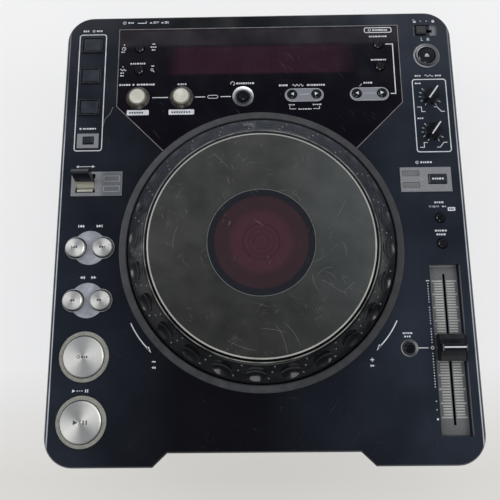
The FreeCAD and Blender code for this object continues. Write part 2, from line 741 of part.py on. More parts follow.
def make_direction_lever():
    """Paddle on a round hub that turns on a pin across the slot."""
    x, y, z = size("lever_x"), size("lever_y"), size("lever_pivot_z")
    half, hub, reach, thick = (size("lever_" + part) for part in ("half", "hub", "reach",
                                                                  "thick"))
    barrel = cylinder("lever_hub", x - half, y, z, hub, half * 2, "x")
    paddle = box("lever_paddle", x - half, x + half, y - thick / 2, y + thick / 2, z, z + reach)
    lean = FreeCAD.Rotation(Vector(1, 0, 0), -SIZES["lever_lean"])
    blade = doc.addObject("Part::Feature", "lever_blade")
    doc.recompute()
    tip_bevel = 1.2
    shape = paddle.Shape.makeChamfer(tip_bevel, [edge for edge in paddle.Shape.Edges if
                                     min(v.Z for v in edge.Vertexes) > (z + reach).value - 0.01
                                     and edge.Length > (half * 2).value - 0.01])
    shape.rotate(Vector(x.value, y.value, z.value), lean.Axis, math.degrees(lean.Angle))
    blade.Shape = shape
    doc.removeObject(paddle.Name)
    bore = cylinder("lever_bore", x - half - 1, y, z, size("lever_pin") + size("running_gap"),
                    half * 2 + 2, "x")
    return node("direction_lever", cut("lever_whole", fuse("lever_solid", [barrel, blade]), bore))


def make_knob(name, y):
    """Round base with a raised fin that points at the scale, on a shaft through the panel."""
    x = size("knob_x")
    skirt = cone(name + "_skirt", x, y, deck + 0.3, size("knob_radius"),
                 size("knob_radius") - 0.8, size("knob_base"))
    shaft = centred_box(name + "_shaft", x, y, 2.2, 2.2, size("cap_foot_level"), deck + 0.4)
    length = size("knob_radius") - 0.9
    fin = doc.addObject("Part::Feature", name + "_fin")
    half = size("knob_fin_half").value
    low, high = deck.value + 2, deck.value + 0.3 + SIZES["knob_fin"]
    profile = Part.makePolygon([Vector(-half - 0.8, 0, low), Vector(half + 0.8, 0, low),
                                Vector(half, 0, high), Vector(-half, 0, high),
                                Vector(-half - 0.8, 0, low)])
    shape = Part.Face(profile).extrude(Vector(0, length.value * 2, 0))
    shape.translate(Vector(x.value, y.value - length.value, 0))
    shape.rotate(Vector(x.value, y.value, 0), Vector(0, 0, 1), -SIZES["knob_turn"])
    fin.Shape = shape
    return node(name, fuse(name + "_whole", [skirt, shaft, fin]))


def make_lock_slide():
    x, y = size("lock_x"), size("lock_y")
    body = new_body("lock_slide")
    top = deck + size("lock_rise")
    base = deck - 1.1
    pad(body, base, top - base, lambda s: centred_rectangle(s, x, y, size("lock_half_x"),
                                                            size("lock_half_y")))
    dress_edges(body, "Chamfer", 0.8,
                lambda edge: min(v.Z for v in edge.Vertexes) > top.value - 0.01)
    pad(body, 82, base - 82, lambda s: centred_rectangle(s, x, y, 1.5, 1.3))
    pad(body, 82, 1.6, lambda s: centred_rectangle(s, x, y, 3.5, 3))
    return node("lock_slide", body)


def make_tempo_slider():
    """Fader cap with two sloped cheeks and a ridge, on a blade and a carriage below."""
    x, y = size("fader_x"), size("fader_y") + 0.4
    half_x, half_y = size("fader_cap_half_x"), size("fader_cap_half_y")
    low = deck - size("fader_depth") + 1.6
    top = deck + size("fader_cap_rise")
    body = new_body("tempo_slider")
    sketch = sketch_on(body, "YZ_Plane", x - half_x)
    polygon(sketch, [(y - half_y, low), (y + half_y, low), (y + half_y, low + 5),
                     (y + 6, deck + 3.4), (y + 2.8, deck + 4), (y + 2.2, top),
                     (y - 2.2, top), (y - 2.8, deck + 4), (y - 6, deck + 3.4),
                     (y - half_y, low + 5)])
    cap = body.newObject("PartDesign::Pad", "fader_cap")
    cap.Profile = sketch
    bind(cap, "Length", half_x * 2)
    doc.recompute()
    dress_edges(body, "Chamfer", 0.7, lambda edge: min(v.Z for v in edge.Vertexes)
                > top.value - 0.01 and edge.Length < 5)
    pad(body, 76, low - 76, lambda s: centred_rectangle(s, x, y, 0.7, 4))
    pad(body, 74.5, 3, lambda s: centred_rectangle(s, x, y, 5, 7))
    return node("tempo_slider", body)


def make_accent_plates():
    """Raised grey plates round the lever, the square caps, the small pairs and the fader."""
    rise = size("accent_rise")

    def lever_plate(sketch):
        rectangle(sketch, -150, -109.5, 17.7, 37.7)
        rectangle(sketch, size("lever_slot_x0"), size("lever_slot_x1"),
                  size("lever_slot_y0"), size("lever_slot_y1"))

    def mode_plate(sketch):
        rectangle(sketch, 110.5, 150.5, 17.7, 37.7)
        centred_rectangle(sketch, size("mode_x"), size("mode_y"),
                          size("mode_half_x") + 0.6, size("mode_half_y") + 0.6)
        for y in (23.25, 32.75):
            centred_rectangle(sketch, as_length(118.75), as_length(y), 6.75, 2.25)

    def rec_plate(sketch):
        rectangle(sketch, -147.3, -130, 57.7, 70)
        centred_rectangle(sketch, size("rec_x"), size("rec_y"),
                          size("rec_half_x") + 0.9, size("rec_half_y") + 0.9)

    def pair_plate(back, forward, reach):
        def draw(sketch):
            y = size(back + "_y") - 0.65
            stadium(sketch, size(back + "_x") - reach + 5.75, size(forward + "_x") + reach - 5.75,
                    y, 5.75)
            for name in (back, forward):
                circle(sketch, size(name + "_x"), size(name + "_y"), size("mini_hole"))
        return draw

    plates = []
    for name, draw in (("lever_plate", lever_plate), ("mode_plate", mode_plate),
                       ("rec_plate", rec_plate),
                       ("wave_plate", pair_plate("wave_back", "wave_forward", 6)),
                       ("call_plate", pair_plate("call_back", "call_forward", 5.7))):
        body = new_body(name)
        pad(body, deck, rise, draw)
        plates.append(body)
    plates[0] = fuse("lever_holder", [plates[0]] + lever_pivot())
    half_y = size("fader_half_y") - 3
    fader_plate = new_body("fader_plate")
    floor_level = deck - size("fader_depth")
    pad(fader_plate, floor_level, size("fader_plate_thick"), lambda s: fader_outline(s, half_y))
    return node("accent_plates", group("accent_group", plates + [fader_plate]))


def lever_pivot():
    """Two cheeks down from the lever's plate, and the pin between them."""
    y, z = size("lever_y"), size("lever_pivot_z")
    left, right, thick = size("lever_slot_x0"), size("lever_slot_x1"), 0.7
    pin = cylinder("lever_pin", left, y, z, size("lever_pin"), right - left, "x")
    top = deck + size("accent_rise")
    return [pin, box("left_cheek", left, left + thick, y - 4, y + 4, z - 4, top),
            box("right_cheek", right - thick, right, y - 4, y + 4, z - 4, top)]


def fader_outline(sketch, half_y):
    x, y = size("fader_x"), size("fader_y")
    centred_rectangle(sketch, x, y, size("fader_plate_half"), half_y)
    centred_rectangle(sketch, x, y, size("fader_slot"), size("fader_travel") + 5.5)


def make_button_rings():
    """Metal rings, dished rings, ring lenses and pad rims, each a separate solid."""
    rings = []
    for name in ("loop_in_button", "loop_out_button"):
        rings.append(sloped_ring(name, size("loop_ring"), size("loop_hole"), 2.6))
    rings.append(sloped_ring("reloop_button", size("dish_ring"), size("dish_hole"), 1.2))
    rings.append(sloped_ring("tempo_reset_button", size("reset_ring"), size("dish_hole"), 1))
    rings.append(sloped_ring("eject_button", size("eject_ring"), size("eject_hole"), 1))
    inner, outer, top = size("lens_inner"), size("lens_outer"), deck + size("lens_rise")
    for name in ("cue_button", "play_button"):
        rings.append(revolve(name + "_lens", [
            (inner, skin_low), (outer, skin_low), (outer, top - 0.5), (outer - 0.5, top),
            (inner, top)], size(name + "_x"), size(name + "_y")))
    for i in range(3):
        y = size("pad_first_y") - size("pad_pitch") * i
        rim = new_body(f"pad_rim_{i}")

        def draw(sketch):
            centred_rectangle(sketch, size("pad_x"), y, size("pad_rim_half_x"),
                              size("pad_rim_half_y"))
            centred_rectangle(sketch, size("pad_x"), y, size("pad_well_half_x"),
                              size("pad_well_half_y"))

        pad(rim, deck, size("pad_rim_rise"), draw)
        rings.append(rim)
    return node("button_rings", group("ring_group", rings))


def sloped_ring(name, outer, inner, rise):
    """A ring on the deck that climbs from its outer edge towards its cap."""
    return revolve(name + "_ring", [(inner, deck), (outer, deck), (outer, deck + 0.3),
                                    (inner + 0.5, deck + rise), (inner, deck + rise)],
                   size(name + "_x"), size(name + "_y"))


# Electronics

def make_main_display():
    half, front, rear = size("display_half"), size("display_front"), size("display_rear")
    return node("main_display", box("display_module", -half + 0.5, half - 0.5, front + 0.5,
                                    rear - 0.5, skin_low - 5.4, deck - size("glass_thick")))


def make_button_boards():
    """Circuit boards under the panel; they hang on short pillars from its skin."""
    low, thick = 78, 1.6
    plans = {"left": (-153, -116, -174, 158), "rear": (-112, 152, 90, 158),
             "right": (116.5, 152, -30, 86), "reset": (101, 125, -112, -92)}
    boards = []
    for name, (x0, x1, y0, y1) in plans.items():
        board = box(name + "_board", x0, x1, y0, y1, low, low + thick)
        pillars = [centred_box(f"{name}_pillar_{i}", x, y, 2, 2, low + thick - 0.5, skin_low)
                   for i, (x, y) in enumerate(((x0 + 2.5, y0 + 2.5), (x0 + 2.5, y1 - 2.5)))]
        boards.append(fuse(name + "_board_set", [board] + pillars))
    lever_room = box("lever_room", size("lever_slot_x0"), size("lever_slot_x1"),
                     size("lever_slot_y0"), size("lever_slot_y1"), low - 1, low + thick + 1)
    boards[0] = cut("left_board_cut", boards[0], lever_room)
    return node("button_boards", group("board_group", boards))


def make_main_board():
    board = box("main_pcb", -52, 132, 10, 155, 14, 15.6)
    chips = [centred_box(f"chip_{i}", x, y, half, half, 15.6, 17.6)
             for i, (x, y, half) in enumerate(((-10, 60, 9), (40, 70, 12), (95, 45, 8)))]
    return node("main_board", fuse("main_board_set", [board] + chips))


def make_power_supply():
    board = box("supply_pcb", -146, -84, 66, 154, 14, 15.6)
    core = box("transformer", -132, -98, 84, 116, 15.6, 46)
    cans = [cylinder(f"capacitor_{i}", x, 134, 15.6, 7, 20) for i, x in enumerate((-132, -108))]
    return node("power_supply", fuse("power_supply_set", [board, core] + cans))


def make_ac_inlet():
    """Inlet: a shell in the back panel with a long round-ended mouth and two pins."""
    x, z = size("inlet_x"), size("back_row_z")
    wall_y = size("deck_rear") - size("case_inset")
    shell = box("inlet_shell", x - 11.8, x + 11.8, wall_y - 14, wall_y + 2.5, z - 8.8, z + 8.8)
    mouth = [cylinder(f"mouth_{i}", x + offset, wall_y - 11, z, 4.4, 16, "y")
             for i, offset in enumerate((-4, 4))]
    mouth.append(box("mouth_middle", x - 4, x + 4, wall_y - 11, wall_y + 5, z - 4.4, z + 4.4))
    pins = [cylinder(f"inlet_pin_{i}", x + offset, wall_y - 12, z, 1.2, 11, "y")
            for i, offset in enumerate((-4.3, 4.3))]
    hollow = cut("inlet_hollow", shell, fuse("inlet_mouth", mouth))
    return node("ac_inlet", fuse("ac_inlet_set", [hollow] + pins))


def make_rear_jacks():
    """Two sound sockets, one digital socket and one small control socket."""
    wall_y = size("deck_rear") - size("case_inset")
    jacks = []
    for i, (x, z) in enumerate(JACK_PLACES):
        flange = box(f"jack_flange_{i}", x - 5, x + 5, wall_y - 8, wall_y + 2.5, z - 5, z + 5)
        barrel = cylinder(f"jack_barrel_{i}", x, wall_y + 2, z, 4.15,
                          size("jack_reach") - wall_y - 2, "y")
        hole = cylinder(f"jack_bore_{i}", x, wall_y - 2, z, 1.6, 20, "y")
        jacks.append(cut(f"jack_{i}", fuse(f"jack_body_{i}", [flange, barrel]), hole))
    nut = cylinder("control_nut", 0, wall_y - 10, size("back_row_z"), 3.2, 13, "y")
    bore = cylinder("control_bore", 0, wall_y - 6, size("back_row_z"), 1.8, 12, "y")
    jacks.append(cut("control_jack", nut, bore))
    return node("rear_jacks", group("jack_group", jacks))


def make_power_button():
    x, z = size("power_x"), size("back_row_z")
    wall_y = size("deck_rear") - size("case_inset")
    stem = box("power_stem", x - 3, x + 3, wall_y - 14, wall_y - 4, z - 3, z + 3)
    cap = centred_box("power_cap", x, wall_y + 0.5, 5.8, 5, z - 5.8, z + 5.8)
    return node("power_button", fuse("power_button_set", [stem, cap]))


# Disc mechanism

def make_drive_chassis():
    """Open-fronted frame with side walls, a lid, guide rods and the loading gear's stub."""
    half, front, rear = size("mech_half"), size("mech_front"), size("mech_rear")
    low, high, wall = size("mech_bottom"), size("mech_top"), size("mech_wall")
    base = box("mech_base", -half, half, front, rear, low, low + wall)
    lid = box("mech_lid", -half, half, front, rear, high - 2, high)
    sides = [box("mech_left", -half, -half + wall, front, rear, low, high),
             box("mech_right", half - wall, half, front, rear, low, high)]
    back = box("mech_back", -half, half, rear - wall, rear, low, high)
    shell = fuse("mech_shell", [base, lid, back] + sides)
    gap = size("shaft_radius") + size("running_gap")
    shaft_hole = cylinder("shaft_hole", -half - 1, size("roller_y"), size("roller_z"), gap,
                          half * 2 + 2, "x")
    open_shell = cut("mech_open", shell, shaft_hole)
    rods = [cylinder(f"guide_rod_{i}", size("rail_x") * side, -86, size("rail_z"),
                     size("rail_radius"), rear - wall / 2 + 86, "y")
            for i, side in enumerate((-1, 1))]
    carriers = [centred_box(f"rod_carrier_{i}", size("rail_x") * side, as_length(-84), 3, 2,
                            low + wall, size("rail_z") + 4) for i, side in enumerate((-1, 1))]
    gear_y = size("roller_y") + gear_distance()
    stub = cylinder("gear_stub", half - 1, gear_y, size("roller_z"), size("shaft_radius"),
                    10, "x")
    return node("drive_chassis", fuse("drive_chassis_set", [open_shell, stub] + rods + carriers))


def gear_distance():
    return (size("roller_teeth") + size("loading_teeth")) * size("gear_module") / 2 + 0.1


def gear_shape(teeth, x0, width, y, z, bore, turn):
    """A spur gear about the X axis with straight-flanked teeth."""
    module = SIZES["gear_module"]
    root, tip = (teeth / 2 - 1.2) * module, (teeth / 2 + 0.9) * module
    pitch = 2 * math.pi / teeth
    points = []
    for i in range(teeth):
        middle = turn + i * pitch
        for radius, share in ((root, -0.36), (tip, -0.13), (tip, 0.13), (root, 0.36)):
            angle = middle + share * pitch
            points.append(Vector(x0, y + radius * math.cos(angle), z + radius * math.sin(angle)))
    points.append(points[0])
    blank = Part.Face(Part.makePolygon(points)).extrude(Vector(width, 0, 0))
    if not bore:
        return blank
    return blank.cut(Part.makeCylinder(bore, width + 2, Vector(x0 - 1, y, z), Vector(1, 0, 0)))


def make_loading_gear():
    """Gear on the chassis's stub that drives the feed roller's gear."""
    gear = doc.addObject("Part::Feature", "loading_gear")
    teeth = SIZES["loading_teeth"]
    gear.Shape = gear_shape(teeth, SIZES["mech_half"] + 2, SIZES["gear_width"],
                            SIZES["roller_y"] + gear_distance().value, SIZES["roller_z"],
                            SIZES["shaft_radius"] + SIZES["running_gap"], 0)
    return node("loading_gear", gear)


def make_feed_roller():
    """Rubber roller on a shaft, with its gear outside the chassis wall."""
    y, z = size("roller_y"), size("roller_z")
    half = size("mech_half")
    shaft = cylinder("roller_shaft", -half - 3, y, z, size("shaft_radius"), half * 2 + 9, "x")
    rubber = cylinder("roller_rubber", -64, y, z, size("roller_radius"), 128, "x")
    gear = doc.addObject("Part::Feature", "roller_gear")
    teeth = SIZES["roller_teeth"]
    gear.Shape = gear_shape(teeth, SIZES["mech_half"] + 2, SIZES["gear_width"],
                            SIZES["roller_y"], SIZES["roller_z"], 0, math.pi / teeth)
    return node("feed_roller", fuse("feed_roller_set", [shaft, gear, rubber]))


def make_spindle_motor():
    y = size("spindle_y")
    low = size("mech_bottom") + size("mech_wall")
    return node("spindle_motor", cylinder("motor_can", 0, y, low, 13, 14))


def make_turntable():
    """Small platter with a centring cone for the disc's hole."""
    base = size("mech_bottom") + size("mech_wall") + 14.4
    return node("turntable", revolve("turntable", [
        (0, base), (14, base), (14, base + 12.5), (7.4, base + 12.5), (6, base + 15.6),
        (0, base + 15.6),
    ], 0, size("spindle_y")))


def make_pickup_sled():
    """Optical pickup on the two guide rods, with the lens on its top."""
    z = size("rail_z")
    block = box("sled_block", -30, 30, -80, -58, z - 5, z + 5)
    bores = [cylinder(f"sled_bore_{i}", size("rail_x") * side, -82, z,
                      size("rail_radius") + size("running_gap"), 26, "y")
             for i, side in enumerate((-1, 1))]
    turret = box("sled_turret", -9, 9, -78, -62, z + 5, z + 8)
    lens = cylinder("sled_lens", 0, -70, z + 8, 2.5, 1)
    return node("pickup_sled", fuse("pickup_sled_set", [
        cut("sled_bored", block, fuse("sled_bores", bores)), turret, lens]))


# Build, check and write

def build():
    make_top_panel()
    make_display_window()
    make_jog_bezel()
    make_lower_case()
    make_front_panel()
    make_rear_panel()
    make_feet()
    make_case_screws()
    make_jog_base()
    make_jog_bearing()
    make_jog_wheel()
    make_jog_plate()
    make_jog_window()
    make_jog_display()
    for name, _, _, family in ROUND_BUTTONS:
        make_round_button(name, family)
    for i in range(3):
        make_square_button(f"hot_cue_{i + 1}", size("pad_x"),
                           size("pad_first_y") - size("pad_pitch") * i,
                           size("pad_half_x"), size("pad_half_y"), size("pad_rise"))
    for name, key in (("rec_mode_button", "rec"), ("jog_mode_button", "mode")):
        make_square_button(name, size(key + "_x"), size(key + "_y"), size(key + "_half_x"),
                           size(key + "_half_y"), size("square_rise"))
    make_direction_lever()
    make_knob("touch_speed_knob", size("touch_knob_y"))
    make_knob("release_speed_knob", size("release_knob_y"))
    make_lock_slide()
    make_tempo_slider()
    make_accent_plates()
    make_button_rings()
    make_main_display()
    make_button_boards()
    make_main_board()
    make_power_supply()
    make_ac_inlet()
    make_rear_jacks()
    make_power_button()
    make_drive_chassis()
    make_loading_gear()
    make_feed_roller()
    make_spindle_motor()
    make_turntable()
    make_pickup_sled()


def check():
    """Stop if any object failed to build or any sub-part has no sound shape."""
    doc.recompute()
    for thing in doc.Objects:
        if "Invalid" in thing.State or "Error" in thing.State:
            raise ValueError(f"{thing.Name} ({thing.Label}) failed: {thing.State}")
    for name, piece in nodes.items():
        if piece.Shape.isNull() or not piece.Shape.isValid():
            raise ValueError(f"{name} has no sound shape")
        if piece.Shape.Volume <= 0:
            raise ValueError(f"{name} has no volume")


def write():
    os.makedirs("parts", exist_ok=True)
    for name, piece in nodes.items():
        piece.Shape.exportStep(f"parts/{name}.step")
    print(len(nodes), "sub-parts written")


build()
check()
write()
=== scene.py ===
# %% [markdown]
# # A tabletop disc player, dressed for a studio picture
#
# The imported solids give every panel, wheel, cap and lever its true place and size. This notebook
# adds what the solids lack: finishes, printed marks, small raised pips, light and a camera.
# Lengths are written in millimetres and multiplied by MM where Blender needs metres; only the
# camera and the lamps are placed in metres.

# %% Load the frame
import math

import bmesh
import bpy
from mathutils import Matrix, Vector
from mathutils.geometry import tessellate_polygon


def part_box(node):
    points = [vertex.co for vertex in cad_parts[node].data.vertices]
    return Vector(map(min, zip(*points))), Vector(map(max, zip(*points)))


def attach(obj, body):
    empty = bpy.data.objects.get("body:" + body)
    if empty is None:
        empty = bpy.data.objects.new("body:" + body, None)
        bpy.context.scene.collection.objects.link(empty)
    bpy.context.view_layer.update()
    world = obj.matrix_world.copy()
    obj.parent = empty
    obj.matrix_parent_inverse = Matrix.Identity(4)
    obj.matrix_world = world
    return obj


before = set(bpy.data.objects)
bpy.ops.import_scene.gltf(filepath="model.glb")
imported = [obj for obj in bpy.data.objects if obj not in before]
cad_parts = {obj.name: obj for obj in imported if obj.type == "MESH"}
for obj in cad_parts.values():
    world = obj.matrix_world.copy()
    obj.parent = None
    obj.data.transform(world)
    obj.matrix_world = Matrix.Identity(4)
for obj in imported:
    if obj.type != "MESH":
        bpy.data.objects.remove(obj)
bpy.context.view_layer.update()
MM = 0.001

# %% [markdown]
# ## Levels and centres
#
# Printed marks lie on surfaces that the solids already have, so their heights are read from the
# frame and not typed in. The wheel's axis is the middle of the touch plate. One more helper
# makes each new object and links it to the scene.

# %% Levels and centres
def top_of(node):
    """Height of a node's highest point, in millimetres."""
    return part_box(node)[1].z / MM


def middle_of(node):
    """Centre of a node seen from above, in millimetres."""
    low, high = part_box(node)
    return (low.x + high.x) / 2 / MM, (low.y + high.y) / 2 / MM


def turned(x, y, radius, angle):
    """The point at a distance and an angle in degrees from a centre."""
    bearing = math.radians(angle)
    return x + radius * math.cos(bearing), y + radius * math.sin(bearing)


def new_object(name, data):
    made = bpy.data.objects.new(name, data)
    bpy.context.scene.collection.objects.link(made)
    return made


DECK = top_of("top_panel")
PLATE_RISE = 0.6
JOG_X, JOG_Y = middle_of("jog_plate")
INK = 0.05
print("deck", round(DECK, 2), "wheel axis", round(JOG_X, 2), round(JOG_Y, 2))

# %% [markdown]
# ## Camera
#
# The photograph looks almost straight down from above the middle of the panel. The camera was
# solved from the panel's straight edges and the wheel's circles, so it needs no shift.

# %% Camera
CAMERA_PLACE = (-0.004647, -0.09156, 0.45271)
CAMERA_TURN = (10.025, 0.726, -0.570)
CAMERA_LENS, SENSOR_WIDTH = 34.56, 36.0

camera = new_object("camera", bpy.data.cameras.new("camera"))
camera.data.sensor_width = SENSOR_WIDTH
camera.data.lens = CAMERA_LENS
camera.location = CAMERA_PLACE
camera.rotation_euler = [math.radians(angle) for angle in CAMERA_TURN]
bpy.context.scene.camera = camera
print("camera", [round(v, 3) for v in camera.location])

# %% [markdown]
# ## Colours and finishes
#
# A finish is a node tree around one shader. The small class below adds nodes with few words:
# noise for tone and sheen, specks of dust, hairline scratches, rings about an axis. The point
# that the noise reads is the piece's own point in millimetres, so the finish stays on the piece
# when it moves and is the same from every side.

# %% A finish under construction
def colour(red, green, blue):
    """A screen colour from 0 to 255 as the linear colour that shaders use."""
    def linear(value):
        value /= 255
        return value / 12.92 if value <= 0.04045 else ((value + 0.055) / 1.055) ** 2.4
    return linear(red), linear(green), linear(blue), 1.0


class Finish:
    """One material: its node tree, its shader, and short words for the nodes it needs."""

    def __init__(self, name, **shader_values):
        self.material = bpy.data.materials.new(name)
        self.material.use_nodes = True
        self.tree = self.material.node_tree
        self.shader = self.tree.nodes["Principled BSDF"]
        self.shade(**shader_values)

    def shade(self, **shader_values):
        """Sets or links sockets of the shader: base_color is the socket Base Color."""
        for word, value in shader_values.items():
            wanted = word.replace("_", " ").lower()
            socket = next(s for s in self.shader.inputs if s.name.lower() == wanted)
            self.feed(socket, value)

    def feed(self, socket, value):
        if isinstance(value, bpy.types.NodeSocket):
            self.tree.links.new(value, socket)
        else:
            socket.default_value = value

    def node(self, kind, inputs, output=0, **settings):
        """Adds a node, sets it up, fills its sockets and gives one of its outputs."""
        made = self.tree.nodes.new("ShaderNode" + kind)
        for word, value in settings.items():
            setattr(made, word, value)
        for key, value in inputs.items():
            self.feed(made.inputs[key], value)
        return made.outputs[output]

    def maths(self, operation, first, second=0.0):
        return self.node("Math", {0: first, 1: second}, operation=operation)

    def point(self, stretch=(1, 1, 1), turn=0.0, start=(0, 0, 0)):
        """The piece's own point in millimetres from start, turned about Z, then stretched."""
        here = self.node("TexCoord", {}, "Object")
        offset = tuple(-value * MM for value in start)
        moved = self.node("VectorMath", {0: here, 1: offset}, operation="ADD")
        turned = self.node("VectorRotate", {"Vector": moved, "Angle": turn},
                           rotation_type="Z_AXIS")
        scale = tuple(value / MM for value in stretch)
        return self.node("VectorMath", {0: turned, 1: scale}, operation="MULTIPLY")

    def noise(self, grain, detail=2.0, point=None):
        """Soft random values from 0 to 1, with patches about grain millimetres wide."""
        return self.node("TexNoise", {"Vector": point or self.point(), "Scale": 1 / grain,
                                      "Detail": detail}, "Fac")

    def step(self, value, low, high, start=0.0, end=1.0):
        """Goes from start to end while value goes from low to high."""
        return self.node("MapRange", {0: value, 1: low, 2: high, 3: start, 4: end}, clamp=True)

    def both(self, first, second):
        return self.maths("MULTIPLY", first, second)

    def either(self, first, second):
        return self.maths("MAXIMUM", first, second)

    def band(self, value, low, high, soft=0.15):
        """1 where value lies between low and high, with edges soft millimetres wide."""
        return self.both(self.step(value, low - soft, low + soft),
                         self.step(value, high - soft, high + soft, 1.0, 0.0))

    def zone(self, x0, x1, y0, y1, soft=0.1):
        """1 inside an upright box seen from above."""
        x, y = self.across()
        return self.both(self.band(x, x0, x1, soft), self.band(y, y0, y1, soft))

    def parts(self, x=0.0, y=0.0):
        """The point's own x, y and z in millimetres from an upright axis at x, y."""
        split = self.tree.nodes.new("ShaderNodeSeparateXYZ")
        self.feed(split.inputs[0], self.point(start=(x, y, 0)))
        return tuple(split.outputs)

    def across(self):
        """The point's x and y in millimetres."""
        return self.parts()[:2]

    def height(self):
        """The point's height in millimetres."""
        return self.parts()[2]

    def reach(self, x, y):
        """Distance in millimetres from an upright axis."""
        return self.node("VectorMath", {0: self.point((1, 1, 0), start=(x, y, 0))}, "Value",
                         operation="LENGTH")

    def bearing(self, x, y):
        """The angle about an upright axis, in radians."""
        aside, ahead, _ = self.parts(x, y)
        return self.maths("ARCTAN2", ahead, aside)

    def around(self, x, y, across, along):
        """A point whose parts are the distance from an axis and the angle about it."""
        return self.node("CombineXYZ", {0: self.both(self.reach(x, y), across),
                                        1: self.both(self.bearing(x, y), along),
                                        2: self.height()})

    def mix(self, share, first, second):
        return self.node("Mix", {0: share, 6: first, 7: second}, 2, data_type="RGBA")

    def specks(self, spacing, size, share):
        """Round specks, one in each cell of the given spacing, kept in a share of the cells."""
        cells = self.tree.nodes.new("ShaderNodeTexVoronoi")
        self.feed(cells.inputs["Vector"], self.point())
        self.feed(cells.inputs["Scale"], 1 / spacing)
        near = self.step(cells.outputs["Distance"], size * 0.6 / spacing, size / spacing, 1, 0)
        chosen = self.step(self.node("SeparateColor", {0: cells.outputs["Color"]}),
                           share, share + 0.02, 1, 0)
        return self.both(near, chosen)

    def hairlines(self, length, turn, share=0.02, width=0.16):
        """Fine straight scratches along one direction, kept where a wide noise is high."""
        lines = self.noise(1.0, 1.0, self.point((1 / length, 1 / width / 6, 0.1), turn))
        kept = self.noise(26.0, 1.0, self.point(start=(turn * 40, 7, 0)))
        return self.both(self.step(lines, 0.74 - share, 0.78 - share),
                         self.step(kept, 0.52, 0.62))

    def bump(self, height, depth):
        """A normal from a height that spans depth millimetres."""
        return self.node("Bump", {"Height": height, "Distance": depth * MM, "Strength": 1.0})


print("finish helper ready")

# %% [markdown]
# ## Moulded plastic
#
# Most pieces of this product are moulded or painted plastic. Their tone is never quite even,
# their sheen changes where hands have rubbed them, and dust lies on them. One function gives
# all of that, and each finish below only chooses tones, sheen and grain.

# %% Moulded and painted surfaces
def moulded(name, dark, light, sheen=(0.3, 0.45), grain=0.35, depth=0.01, dust=0.25):
    """Plastic or paint: two near tones, an uneven sheen, a fine grain and a little dust."""
    made = Finish(name)
    tone = made.noise(9.0, 3.0)
    fine = made.noise(grain, 2.0)
    patches = made.step(made.either(tone, made.both(fine, 0.9)), 0.35, 0.7)
    base = made.mix(patches, colour(*dark), colour(*light))
    settled = made.both(made.specks(2.6, 0.16, 0.35), dust)
    made.base = made.mix(settled, base, colour(190, 190, 185))
    made.shade(base_color=made.base, roughness=made.step(tone, 0.3, 0.7, *sheen),
               normal=made.bump(fine, depth))
    return made


satin_black = moulded("satin_black", (20, 20, 23), (31, 32, 36), (0.32, 0.45))
gloss_black = moulded("gloss_black", (10, 11, 14), (18, 19, 23), (0.1, 0.2), 0.8, 0.002)
case_paint = moulded("case_paint", (24, 24, 26), (34, 34, 37), (0.42, 0.55), 0.5, 0.03)
foot_rubber = moulded("foot_rubber", (22, 22, 22), (34, 33, 32), (0.75, 0.9), 0.6, 0.05)
cream_plastic = moulded("cream_plastic", (156, 154, 141), (182, 181, 169), (0.3, 0.42), 0.3)
gear_plastic = moulded("gear_plastic", (190, 188, 176), (214, 212, 202), (0.35, 0.5))
white_ink = moulded("white_ink", (168, 171, 176), (200, 203, 207), (0.4, 0.55), 0.25, 0.003)
border_ink = moulded("border_ink", (128, 131, 137), (156, 159, 165), (0.4, 0.55), 0.3, 0.003)
dark_ink = moulded("dark_ink", (44, 44, 46), (60, 60, 62), (0.45, 0.6), 0.25, 0.003)
print("moulded finishes", len(bpy.data.materials))

# %% [markdown]
# ## Glossy controls
#
# The pads, the knobs, the pitch slider and the lever are moulded with a deeper gloss than the
# case. The lever's round foot carries a cream patch, which shows which way the lever is set; it
# belongs to the lever, so it is painted by place on it and turns with it.

# %% Glossy controls
pad_gloss = moulded("pad_gloss", (27, 31, 38), (40, 44, 53), (0.16, 0.28), 0.5, 0.006)
control_gloss = moulded("control_gloss", (9, 10, 13), (17, 18, 23), (0.12, 0.24), 0.6, 0.003)
CREAM_REAR = 28.4


def make_lever_gloss():
    made = moulded("lever_gloss", (8, 10, 18), (16, 18, 27), (0.12, 0.22), 0.6, 0.003)
    _, y = made.across()
    patch = made.step(y, CREAM_REAR - 0.1, CREAM_REAR + 0.1, 1, 0)
    cream = made.mix(made.noise(1.2, 2.0), colour(140, 136, 122), colour(166, 162, 148))
    made.shade(base_color=made.mix(patch, made.base, cream))
    return made


lever_gloss = make_lever_gloss()
print("cream patch in front of y", CREAM_REAR)

# %% [markdown]
# ## The glossy panel
#
# The top panel is a large gloss moulding, navy black, and it has been used: hairlines run in
# several directions and dust lies in specks. Its gloss is lighter and bluer in soft patches on the
# left and right sides. Hairlines are stretched noise cut off high, which leaves thin dashes.
# A pale line is painted along the left and right edges where the bevel meets the top, fainter
# towards the rear: a painted highlight. The walls of two recesses are painted pale on their upper
# part, a painted highlight where they face the light. Each of those walls is given as a box seen
# from above and the height where the pale part starts.

# %% The panel's gloss
PANEL_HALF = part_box("top_panel")[1].x / MM
EDGE_HIGHLIGHT = (PANEL_HALF - 2.8, PANEL_HALF - 1.9)
RECESS_LIGHTS = (((151.2, 151.8, -165.5, -39.5), DECK - 2.6),
                 ((129.0, 130.9, 152.0, 163.0), DECK - 9.0),
                 ((143.4, 149.4, 152.0, 163.0), DECK - 9.0))


